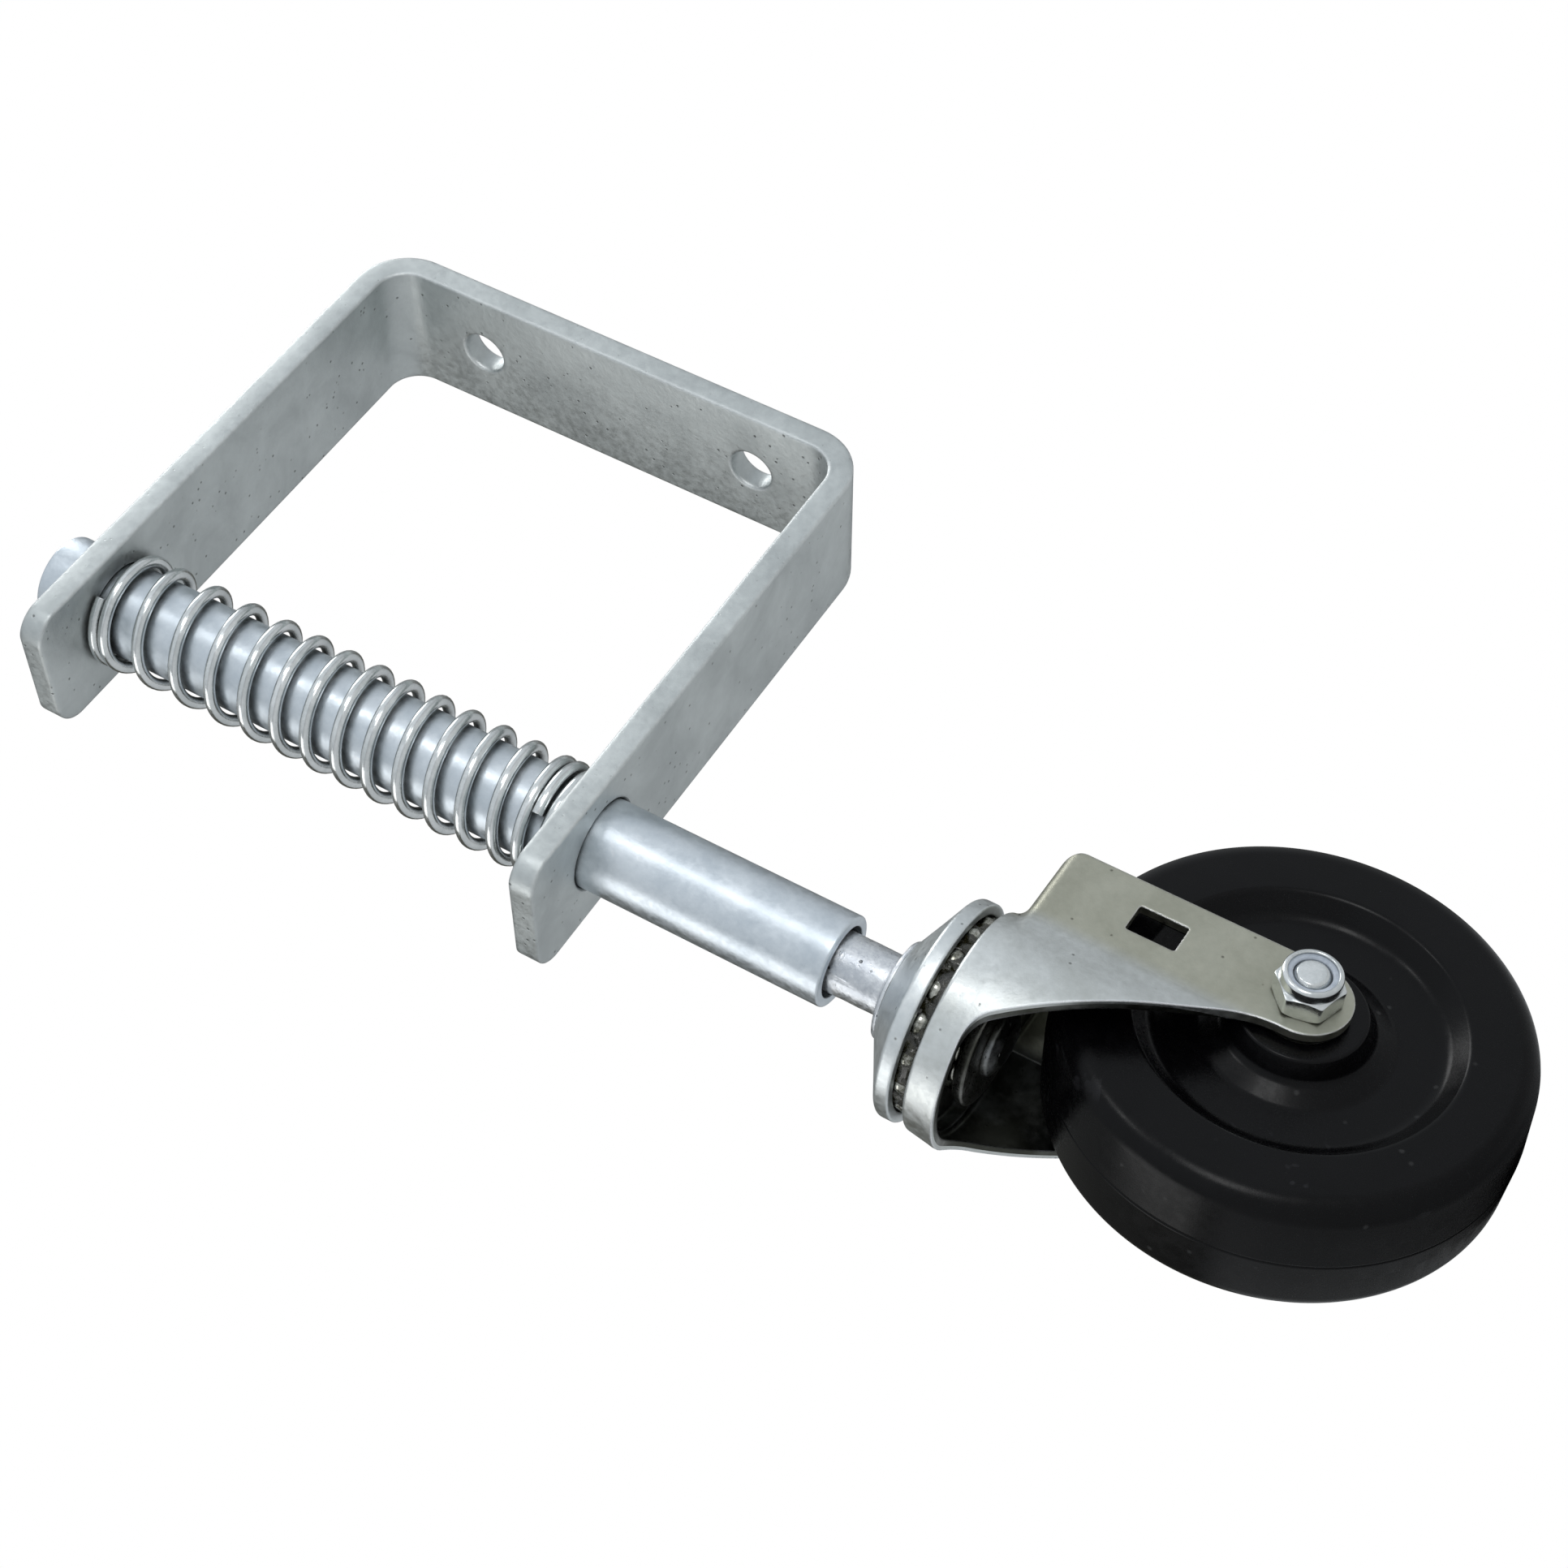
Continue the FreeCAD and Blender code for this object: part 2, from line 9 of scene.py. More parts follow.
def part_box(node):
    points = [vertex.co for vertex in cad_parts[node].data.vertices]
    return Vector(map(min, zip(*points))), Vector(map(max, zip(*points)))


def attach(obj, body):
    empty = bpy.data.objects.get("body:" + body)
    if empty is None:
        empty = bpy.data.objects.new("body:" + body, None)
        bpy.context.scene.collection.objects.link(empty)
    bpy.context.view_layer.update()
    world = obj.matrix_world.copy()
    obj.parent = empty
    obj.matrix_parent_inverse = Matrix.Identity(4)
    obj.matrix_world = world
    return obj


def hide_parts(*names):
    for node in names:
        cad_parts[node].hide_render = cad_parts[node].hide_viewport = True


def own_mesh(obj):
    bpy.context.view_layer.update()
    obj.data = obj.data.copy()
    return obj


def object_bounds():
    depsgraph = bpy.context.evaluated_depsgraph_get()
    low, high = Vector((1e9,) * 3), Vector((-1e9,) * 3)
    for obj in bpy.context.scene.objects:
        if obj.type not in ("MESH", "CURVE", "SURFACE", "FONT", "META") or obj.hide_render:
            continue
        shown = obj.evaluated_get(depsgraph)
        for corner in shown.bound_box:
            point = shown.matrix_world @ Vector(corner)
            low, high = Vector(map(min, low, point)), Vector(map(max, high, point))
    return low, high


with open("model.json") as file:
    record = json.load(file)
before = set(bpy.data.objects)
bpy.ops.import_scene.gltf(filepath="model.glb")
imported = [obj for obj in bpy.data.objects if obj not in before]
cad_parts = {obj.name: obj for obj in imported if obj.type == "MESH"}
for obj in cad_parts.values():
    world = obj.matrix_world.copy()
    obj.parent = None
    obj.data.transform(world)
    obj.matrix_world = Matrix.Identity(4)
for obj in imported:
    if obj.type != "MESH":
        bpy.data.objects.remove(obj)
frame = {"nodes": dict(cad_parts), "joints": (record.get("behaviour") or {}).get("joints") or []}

CAD_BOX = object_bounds()
NODES = frame["nodes"]
MM = 0.001
FIT = 0.02 * MM
SMOOTH_ANGLE = math.radians(32)


# ======== places read from the frame
def joint(name):
    return next(item for item in frame["joints"] if item["name"] == name)


tube_low, tube_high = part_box("slide_tube")
ring_low, ring_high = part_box("retaining_ring")
bar_low, bar_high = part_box("bracket")
cap_low, cap_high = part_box("swivel_cap")
pin_low, pin_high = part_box("kingpin")
race_low, race_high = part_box("lower_race")
stem_low, stem_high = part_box("stem")
ball_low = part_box("upper_balls")[0]

rod_y = (tube_low.y + tube_high.y) / 2
tube_radius = (tube_high.x - tube_low.x) / 2
ROD = Matrix.Translation((0, rod_y, 0))

axle_centre = Vector(joint("wheel_spin")["pos_m"])
axle_axis = Vector(joint("wheel_spin")["axis"]).normalized()
fork_ahead = Vector((0, 0, 1)).cross(axle_axis)
AXLE = Matrix.Translation(axle_centre) @ Matrix(
    (
        (fork_ahead.x, 0, axle_axis.x),
        (fork_ahead.y, 0, axle_axis.y),
        (0, 1, 0),
    )
).to_4x4()


# ======== camera
def make_camera():
    """Long lens from the axle nut's side, a little below the axle, rolled so that the rod lies down."""
    place = Vector((0.5327, -0.4356, -0.3070))
    ahead = Vector((-0.7952, 0.5131, 0.3230)).normalized()
    view_down = Vector((-0.6063, -0.6811, -0.4105))
    right = view_down.cross(ahead).normalized()
    up = right.cross(ahead).normalized()
    camera = bpy.data.objects.new("camera", bpy.data.cameras.new("camera"))
    turn = Matrix((right, up, -ahead)).transposed().to_4x4()
    camera.matrix_world = Matrix.Translation(place) @ turn
    camera.data.sensor_width = 36
    camera.data.lens = 70.4
    camera.data.shift_x = 0.0223
    camera.data.shift_y = 0.0140
    camera.data.clip_start = 0.01
    bpy.context.scene.collection.objects.link(camera)
    bpy.context.scene.camera = camera


make_camera()


# ======== node helpers
def node(tree, kind, inputs=None, **settings):
    """Add a node; an input's value is a socket to link from, or a plain value."""
    made = tree.nodes.new(kind)
    for key, value in settings.items():
        setattr(made, key, value)
    for key, value in (inputs or {}).items():
        if isinstance(value, bpy.types.NodeSocket):
            tree.links.new(value, made.inputs[key])
        else:
            made.inputs[key].default_value = value
    return made


def math_node(tree, operation, first, second=0.0):
    return node(tree, "ShaderNodeMath", {0: first, 1: second}, operation=operation).outputs[0]


def plus(tree, first, second):
    return math_node(tree, "ADD", first, second)


def minus(tree, first, second):
    return math_node(tree, "SUBTRACT", first, second)


def times(tree, first, second):
    return math_node(tree, "MULTIPLY", first, second)


def along(tree, vector, direction):
    """How far a vector reaches along a direction."""
    inputs = {0: vector, 1: direction}
    return node(tree, "ShaderNodeVectorMath", inputs, operation="DOT_PRODUCT").outputs["Value"]


def ramp(tree, value, low, high, to_low=0.0, to_high=1.0):
    """Smooth step of a value from low..high to to_low..to_high."""
    ends = {"From Min": low, "From Max": high, "To Min": to_low, "To Max": to_high}
    made = node(tree, "ShaderNodeMapRange", {"Value": value, **ends}, interpolation_type="SMOOTHSTEP")
    return made.outputs["Result"]


def colour_mix(tree, factor, first, second, blend="MIX"):
    inputs = {0: factor, 6: first, 7: second}
    return node(tree, "ShaderNodeMix", inputs, data_type="RGBA", blend_type=blend).outputs[2]


def clouds(tree, vector, scale, detail=4.0, roughness=0.55, distortion=0.0):
    inputs = {"Vector": vector, "Scale": scale, "Detail": detail}
    inputs.update({"Roughness": roughness, "Distortion": distortion})
    return node(tree, "ShaderNodeTexNoise", inputs).outputs["Fac"]


def stretched(tree, vector, turn, stretch):
    inputs = {"Vector": vector, "Rotation": turn, "Scale": stretch}
    return node(tree, "ShaderNodeMapping", inputs).outputs["Vector"]


def new_group(name, inputs, outputs):
    """Node group with named sockets; inputs are (name, kind, default), outputs are (name, kind)."""
    tree = bpy.data.node_groups.new(name, "ShaderNodeTree")
    for label, kind, default in inputs:
        socket = tree.interface.new_socket(label, in_out="INPUT", socket_type=f"NodeSocket{kind}")
        if default is not None:
            socket.default_value = default
    for label, kind in outputs:
        tree.interface.new_socket(label, in_out="OUTPUT", socket_type=f"NodeSocket{kind}")
    entry = tree.nodes.new("NodeGroupInput").outputs
    leave = tree.nodes.new("NodeGroupOutput").inputs
    return tree, entry, leave


def place_group(tree, group, inputs):
    return node(tree, "ShaderNodeGroup", inputs, node_tree=group).outputs


# ======== shared surface effects
def make_mottle_group():
    """Cloudy two-tone patches of a plated or moulded skin, with a roughness that follows them."""
    tree, entry, leave = new_group(
        "mottle",
        [
            ("Vector", "Vector", None),
            ("Dark", "Color", (0.4, 0.4, 0.4, 1)),
            ("Light", "Color", (0.6, 0.6, 0.6, 1)),
            ("Scale", "Float", 60.0),
            ("Contrast", "Float", 0.5),
            ("Rough Low", "Float", 0.3),
            ("Rough High", "Float", 0.5),
        ],
        [("Color", "Color"), ("Roughness", "Float"), ("Mask", "Float")],
    )
    broad = clouds(tree, entry["Vector"], entry["Scale"], 5.0, 0.6, 0.5)
    fine_scale = times(tree, entry["Scale"], 9.0)
    fine = clouds(tree, entry["Vector"], fine_scale, 4.0, 0.65)
    both = plus(tree, times(tree, broad, 0.68), times(tree, fine, 0.32))
    half = times(tree, minus(tree, 1.0, entry["Contrast"]), 0.3)
    low = minus(tree, 0.49, half)
    high = plus(tree, 0.51, half)
    mask = ramp(tree, both, low, high)
    tree.links.new(mask, leave["Mask"])
    tree.links.new(colour_mix(tree, mask, entry["Dark"], entry["Light"]), leave["Color"])
    roughness = ramp(tree, fine, 0.3, 0.7, entry["Rough Low"], entry["Rough High"])
    tree.links.new(roughness, leave["Roughness"])
    return tree


def make_scratch_group():
    """Short fine scratches in three directions, gathered in patches."""
    tree, entry, leave = new_group(
        "handling_scratches",
        [("Vector", "Vector", None), ("Scale", "Float", 300.0), ("Coverage", "Float", 0.5)],
        [("Mask", "Float")],
    )
    turns = (
        ((0.3, 0.5, 0.2), (0.06, 1.0, 1.0)),
        ((0.9, 0.1, 1.3), (1.0, 0.05, 1.0)),
        ((1.7, 0.8, 0.4), (1.0, 1.0, 0.06)),
    )
    total = None
    for turn, stretch in turns:
        drawn_out = stretched(tree, entry["Vector"], turn, stretch)
        lines = clouds(tree, drawn_out, entry["Scale"], 2.0, 0.5)
        thin = ramp(tree, lines, 0.655, 0.70)
        total = thin if total is None else math_node(tree, "MAXIMUM", total, thin)
    patch_scale = times(tree, entry["Scale"], 0.14)
    patches = clouds(tree, entry["Vector"], patch_scale, 3.0)
    start = minus(tree, 0.78, times(tree, entry["Coverage"], 0.5))
    gate = ramp(tree, patches, start, plus(tree, start, 0.12))
    tree.links.new(times(tree, total, gate), leave["Mask"])
    return tree


def make_pit_group():
    """Scattered round pits: a mask of where they are and a height that drops into them."""
    tree, entry, leave = new_group(
        "casting_pits",
        [("Vector", "Vector", None), ("Scale", "Float", 900.0), ("Share", "Float", 0.25)],
        [("Mask", "Float"), ("Height", "Float")],
    )
    cells = node(tree, "ShaderNodeTexVoronoi", {"Vector": entry["Vector"], "Scale": entry["Scale"]})
    lot = node(tree, "ShaderNodeSeparateColor", {"Color": cells.outputs["Color"]}).outputs[0]
    chosen = math_node(tree, "LESS_THAN", lot, entry["Share"])
    round_pit = ramp(tree, cells.outputs["Distance"], 0.42, 0.12)
    mask = times(tree, round_pit, chosen)
    tree.links.new(mask, leave["Mask"])
    tree.links.new(minus(tree, 1.0, mask), leave["Height"])
    return tree


def make_edge_wear_and_highlight_group():
    """Bright line along outer edges, partly rubbed wear and partly a painted highlight, broken up by
    small clouds, and the eased normal there.
    """
    tree, entry, leave = new_group(
        "edge_wear_and_highlight",
        [("Vector", "Vector", None), ("Width", "Float", 0.0006), ("Gain", "Float", 3.0)],
        [("Mask", "Float"), ("Normal", "Vector")],
    )
    eased = node(tree, "ShaderNodeBevel", {"Radius": entry["Width"]}, samples=4).outputs["Normal"]
    face = node(tree, "ShaderNodeNewGeometry").outputs["Normal"]
    bent = times(tree, minus(tree, 1.0, along(tree, eased, face)), entry["Gain"])
    breaks = ramp(tree, clouds(tree, entry["Vector"], 520.0, 3.0, 0.6), 0.32, 0.6, 0.35, 1.0)
    mask = node(tree, "ShaderNodeClamp", {"Value": times(tree, bent, breaks)}).outputs[0]
    tree.links.new(mask, leave["Mask"])
    tree.links.new(eased, leave["Normal"])
    return tree


def make_corner_shade_group():
    """Painted shade: colour darkens where ambient occlusion finds corners and crevices."""
    tree, entry, leave = new_group(
        "painted_corner_shade",
        [("Vector", "Vector", None), ("Reach", "Float", 0.004), ("Amount", "Float", 0.6)],
        [("Mask", "Float")],
    )
    sky = node(tree, "ShaderNodeAmbientOcclusion", {"Distance": entry["Reach"]}, samples=4)
    closed = ramp(tree, sky.outputs["AO"], 0.75, 0.15)
    uneven = ramp(tree, clouds(tree, entry["Vector"], 240.0, 4.0, 0.6), 0.3, 0.65, 0.45, 1.0)
    shade = times(tree, closed, uneven)
    tree.links.new(times(tree, shade, entry["Amount"]), leave["Mask"])
    return tree


MOTTLE = make_mottle_group()
SCRATCHES = make_scratch_group()
PITS = make_pit_group()
EDGE_WEAR_AND_HIGHLIGHT = make_edge_wear_and_highlight_group()
CORNER_SHADE_GROUP = make_corner_shade_group()


# ======== materials
# Near-black tone of the painted shade inside the fork and below its crown.
INSIDE_SHADE_TONE = (0.030, 0.031, 0.020, 1)


def grey(level, blue=1.0):
    return (level, level, level * blue, 1)


def blank_material(name):
    """Material with a Principled shader; returns its tree, shader and object coordinates."""
    material = bpy.data.materials.new(name)
    material.use_nodes = True
    tree = material.node_tree
    shader = tree.nodes["Principled BSDF"]
    vector = tree.nodes.new("ShaderNodeTexCoord").outputs["Object"]
    return material, tree, shader, vector


def mottled(tree, vector, dark, light, scale, contrast, rough):
    """Mottled skin between two tones, its roughness between the two values of rough."""
    inputs = {"Vector": vector, "Dark": dark, "Light": light, "Scale": scale, "Contrast": contrast}
    inputs.update({"Rough Low": rough[0], "Rough High": rough[1]})
    return place_group(tree, MOTTLE, inputs)


def finish_shader(tree, shader, colour, roughness, height, depth, normal=None):
    """Feed colour and roughness to the shader, and a height through a Bump node to its normal."""
    tree.links.new(colour, shader.inputs["Base Color"])
    tree.links.new(roughness, shader.inputs["Roughness"])
    inputs = {"Height": height, "Distance": depth, "Strength": 1.0}
    if normal is not None:
        inputs["Normal"] = normal
    bump = node(tree, "ShaderNodeBump", inputs)
    tree.links.new(bump.outputs["Normal"], shader.inputs["Normal"])


def zinc(
    name,
    dark,
    light,
    scale,
    contrast,
    rough,
    depth,
    grain_scale=1400.0,
    scratch=0.5,
    scratch_gain=0.5,
    pits=0.0,
    edge=(0.0006, 2.5),
    scratch_and_edge_highlight_tone=grey(0.9),
    corner_shade=0.6,
    shade_and_pit_tone=(0.035, 0.032, 0.024, 1),
    inside_shade=0.0,
):
    """Zinc plate on steel: mottled tone, scratches, pits, edges lightened partly by wear and partly as
    a painted highlight, and painted shade in the corners.
    """
    material, tree, shader, vector = blank_material(name)
    shader.inputs["Metallic"].default_value = 1.0
    patches = mottled(tree, vector, dark, light, scale, contrast, rough)
    scuffs = place_group(tree, SCRATCHES, {"Vector": vector, "Coverage": scratch})["Mask"]
    holes = place_group(tree, PITS, {"Vector": vector, "Share": pits})["Mask"]
    bright_edges = place_group(tree, EDGE_WEAR_AND_HIGHLIGHT, {"Vector": vector, "Width": edge[0], "Gain": edge[1]})
    # Painted shade: the colour darkens towards a near-black tone where ambient occlusion finds corners
    # and crevices.
    corner_shade_mask = place_group(tree, CORNER_SHADE_GROUP, {"Vector": vector, "Amount": corner_shade})["Mask"]
    scuffed = times(tree, scuffs, scratch_gain)
    # Scratches and edges lighten towards a pale grey; on the edges this is partly wear and partly a
    # painted highlight.
    colour = colour_mix(tree, scuffed, patches["Color"], scratch_and_edge_highlight_tone)
    colour = colour_mix(tree, bright_edges["Mask"], colour, scratch_and_edge_highlight_tone)
    colour = colour_mix(tree, times(tree, holes, 0.6), colour, shade_and_pit_tone)
    colour = colour_mix(tree, corner_shade_mask, colour, shade_and_pit_tone)
    # Painted shade: below the fork's crown the colour darkens towards near black.
    if inside_shade > 0:
        below_crown_shade = times(tree, under_crown(tree, vector), inside_shade)
        uneven = ramp(tree, clouds(tree, vector, 130.0), 0.3, 0.6, 0.6, 1.0)
        colour = colour_mix(tree, times(tree, below_crown_shade, uneven), colour, INSIDE_SHADE_TONE)
    smoother = times(tree, bright_edges["Mask"], -0.12)
    duller = times(tree, corner_shade_mask, 0.3)
    roughness = plus(tree, patches["Roughness"], plus(tree, smoother, duller))
    grain = clouds(tree, vector, grain_scale, 5.0, 0.6)
    height = plus(tree, grain, times(tree, scuffs, -0.6))
    height = plus(tree, height, times(tree, holes, -1.6))
    finish_shader(tree, shader, colour, roughness, height, depth, bright_edges["Normal"])
    return material, tree, shader, vector


def under_crown(tree, vector):
    """Mask of what lies below the fork's crown, where painted shade darkens the colour."""
    height = node(tree, "ShaderNodeSeparateXYZ", {"Vector": vector}).outputs["Z"]
    crown_underside = ball_low.z - 1.6 * MM
    return math_node(tree, "LESS_THAN", height, crown_underside)


def make_materials():
    made = {}
    # In these settings the corner darkening and the darkening below the crown are painted shade; the
    # edge setting partly paints a highlight.
    plain = {
        "zinc_bar": dict(
            dark=(0.45, 0.48, 0.48, 1), light=(0.64, 0.675, 0.67, 1), scale=60.0, contrast=0.2,
            rough=(0.38, 0.54), depth=0.00007, grain_scale=700.0, pits=0.04, edge=(0.0012, 5.0),
            scratch=0.25, scratch_gain=0.22,
        ),
        "zinc_tube": dict(
            dark=(0.56, 0.62, 0.67, 1), light=(0.77, 0.82, 0.86, 1), scale=70.0, contrast=0.25,
            rough=(0.30, 0.44), depth=0.00004, grain_scale=600.0, scratch=0.35, edge=(0.0004, 2.0),
            corner_shade=0.85,
        ),
        "zinc_rough": dict(
            dark=(0.54, 0.57, 0.61, 1), light=(0.86, 0.88, 0.90, 1), scale=120.0, contrast=0.5,
            rough=(0.26, 0.46), depth=0.00016, grain_scale=420.0, pits=0.07, scratch=0.7, inside_shade=0.93,
        ),
        "zinc_cap": dict(
            dark=(0.62, 0.66, 0.67, 1), light=(0.82, 0.85, 0.85, 1), scale=70.0, contrast=0.2,
            rough=(0.30, 0.42), depth=0.00003, pits=0.03, edge=(0.0008, 2.6),
        ),
        "zinc_bright": dict(
            dark=(0.60, 0.63, 0.63, 1), light=(0.84, 0.86, 0.86, 1), scale=140.0, contrast=0.3,
            rough=(0.12, 0.23), depth=0.00002, scratch=0.45, edge=(0.0003, 2.0), corner_shade=0.75,
        ),
        "race_steel": dict(
            dark=(0.26, 0.26, 0.25, 1), light=(0.48, 0.48, 0.46, 1), scale=160.0, contrast=0.4,
            rough=(0.25, 0.45), depth=0.00004, edge=(0.0005, 2.5), corner_shade=0.8, inside_shade=0.85,
        ),
        "ball_steel": dict(
            dark=(0.10, 0.10, 0.07, 1), light=(0.70, 0.70, 0.64, 1), scale=420.0, contrast=0.6,
            rough=(0.06, 0.14), depth=0.000004, scratch=0.2, edge=(0.0001, 0.2), corner_shade=0.9,
        ),
    }
    for name, values in plain.items():
        made[name] = zinc(name, **values)[0]
    made["zinc_sheet"] = make_sheet_material()
    made["wheel_rubber"] = make_rubber_material()
    made["nylon"] = make_nylon_material()
    made["grease"] = make_grease_material()
    return made


def make_sheet_material():
    """Fork plate: dull olive on the flat legs, with a painted bluish highlight round the drawn crown
    and painted shade inside the fork.
    """
    material, tree, shader, vector = zinc(
        "zinc_sheet",
        dark=(0.36, 0.36, 0.29, 1),
        light=(0.49, 0.49, 0.41, 1),
        scale=62.0,
        contrast=0.2,
        rough=(0.30, 0.44),
        depth=0.00003,
        scratch=0.3,
        scratch_gain=0.2,
        pits=0.012,
        edge=(0.0007, 3.0),
    )
    zinc_colour = shader.inputs["Base Color"].links[0].from_socket
    ahead = along(tree, vector, fork_ahead)
    from_rod = minus(tree, ahead, Vector((0, rod_y, 0)).dot(fork_ahead))
    # Painted highlight: round the crown the colour is brightened and turned bluish.
    drawn = ramp(tree, from_rod, 18.5 * MM, 12.5 * MM)
    crown_highlight_tone = colour_mix(tree, 1.0, zinc_colour, (1.50, 1.56, 1.86, 1), "MULTIPLY")
    colour = colour_mix(tree, drawn, zinc_colour, crown_highlight_tone)
    # Painted shade: the fork's inner faces darken towards near black.
    uneven = ramp(tree, clouds(tree, vector, 90.0), 0.25, 0.6, 0.7, 0.96)
    inside_shade = times(tree, fork_inside(tree, vector), uneven)
    colour = colour_mix(tree, inside_shade, colour, INSIDE_SHADE_TONE)
    tree.links.new(colour, shader.inputs["Base Color"])
    return material


def fork_inside(tree, vector):
    """Mask of the fork's inner faces, between the legs and under the crown, where painted shade goes.
    """
    leg_reach, crown_reach = 20.2 * MM, 25.0 * MM
    across = along(tree, vector, axle_axis)
    away = math_node(tree, "ABSOLUTE", minus(tree, across, axle_centre.dot(axle_axis)))
    between = math_node(tree, "LESS_THAN", away, leg_reach)
    parts = node(tree, "ShaderNodeSeparateXYZ", {"Vector": vector}).outputs
    from_rod = minus(tree, parts["Y"], rod_y)
    squares = [math_node(tree, "POWER", value, 2.0) for value in (parts["X"], from_rod)]
    near_rod = math_node(tree, "LESS_THAN", plus(tree, *squares), crown_reach**2)
    normal = node(tree, "ShaderNodeNewGeometry").outputs["Normal"]
    facing_ahead = along(tree, normal, fork_ahead)
    upward = node(tree, "ShaderNodeSeparateXYZ", {"Vector": normal}).outputs["Z"]
    behind = math_node(tree, "GREATER_THAN", from_rod, 0.0)
    behind = times(tree, behind, math_node(tree, "LESS_THAN", facing_ahead, 0.5))
    enclosed = math_node(tree, "MAXIMUM", near_rod, times(tree, between, behind))
    enclosed = times(tree, enclosed, math_node(tree, "LESS_THAN", upward, 0.5))
    return times(tree, enclosed, under_crown(tree, vector))


def make_rubber_material():
    """Black moulded hard rubber with a soft sheen, faint bloom and fine mould grain."""
    material, tree, shader, vector = blank_material("wheel_rubber")
    shader.inputs["Specular IOR Level"].default_value = 0.16
    dark, light = (0.0008, 0.0008, 0.0010, 1), (0.0022, 0.0021, 0.0026, 1)
    patches = mottled(tree, vector, dark, light, 45.0, 0.2, (0.22, 0.31))
    scuffs = place_group(tree, SCRATCHES, {"Vector": vector, "Coverage": 0.35, "Scale": 220.0})["Mask"]
    specks = place_group(tree, PITS, {"Vector": vector, "Share": 0.02, "Scale": 520.0})["Mask"]
    colour = colour_mix(tree, times(tree, scuffs, 0.25), patches["Color"], grey(0.06, 1.1))
    colour = colour_mix(tree, times(tree, specks, 0.25), colour, grey(0.09))
    grain = clouds(tree, vector, 1500.0, 4.0, 0.6)
    height = plus(tree, grain, times(tree, scuffs, -0.5))
    finish_shader(tree, shader, colour, patches["Roughness"], height, 0.000012)
    return material


def make_nylon_material():
    """Natural nylon: milky, with faint clouds."""
    material, tree, shader, vector = blank_material("nylon")
    dark, light = (0.30, 0.34, 0.40, 1), (0.55, 0.60, 0.66, 1)
    patches = mottled(tree, vector, dark, light, 400.0, 0.2, (0.35, 0.5))
    grain = clouds(tree, vector, 900.0)
    finish_shader(tree, shader, patches["Color"], patches["Roughness"], grain, 0.00002)
    return material


def make_grease_material():
    """Old grease: olive black, wet and lumpy."""
    material, tree, shader, vector = blank_material("grease")
    shader.inputs["Coat Weight"].default_value = 0.6
    shader.inputs["Coat Roughness"].default_value = 0.08
    dark, light = (0.004, 0.004, 0.002, 1), (0.030, 0.028, 0.010, 1)
    patches = mottled(tree, vector, dark, light, 260.0, 0.5, (0.15, 0.4))
    lumps = clouds(tree, vector, 700.0, 3.0, 0.5, 1.0)
    finish_shader(tree, shader, patches["Color"], patches["Roughness"], lumps, 0.0004)
    return material


MATERIALS = make_materials()


# ======== mesh helpers
def rounded_outline(corners, closed, steps=8):
    """Outline through (u, v, radius) corners, each rounded by an arc of its own radius."""
    places = [Vector((u, v)) for u, v, _ in corners]
    outline = []
    for index, (u, v, radius) in enumerate(corners):
        corner = places[index]
        at_end = not closed and index in (0, len(corners) - 1)
        if radius <= 0 or at_end:
            outline.append(corner)
            continue
        before = (places[index - 1] - corner).normalized()
        after = (places[(index + 1) % len(places)] - corner).normalized()
        half = before.angle(after) / 2
        inward = (before + after).normalized()
        centre = corner + inward * (radius / math.sin(half))
        first = corner + before * (radius / math.tan(half)) - centre
        last = corner + after * (radius / math.tan(half)) - centre
        sweep = first.angle_signed(last)
        for step in range(steps + 1):
            outline.append(centre + turned(first, -sweep * step / steps))
    return outline


def turned(vector, angle):
    cosine, sine = math.cos(angle), math.sin(angle)
    return Vector((vector.x * cosine - vector.y * sine, vector.x * sine + vector.y * cosine))


def angles(count):
    """Equal steps round a full turn."""
    return [2 * math.pi * step / count for step in range(count)]


def polar(radius, angle, height):
    return Vector((radius * math.cos(angle), radius * math.sin(angle), height))


def stitch(mesh, rings, closed_rings=True, closed_path=True):
    """Faces between successive rings of vertices."""
    count = len(rings[0])
    last = len(rings) if closed_path else len(rings) - 1
    for index in range(last):
        here, there = rings[index], rings[(index + 1) % len(rings)]
        for step in range(count if closed_rings else count - 1):
            following = (step + 1) % count
            mesh.faces.new((here[step], here[following], there[following], there[step]))


def lathe(outline, turns=160, closed=True, wobble=None):
    """Turn an outline of (radius, height) about Z; wobble(radius, height, angle) shifts both."""
    mesh = bmesh.new()
    rings = []
    for angle in angles(turns):
        ring = []
        for radius, height in outline:
            if wobble is not None and radius > 0:
                radius, height = wobble(radius, height, angle)
            ring.append(mesh.verts.new(polar(radius, angle, height)))
        rings.append(ring)
    stitch(mesh, rings, closed_rings=closed)
    bmesh.ops.remove_doubles(mesh, verts=mesh.verts, dist=1e-7)
    return mesh


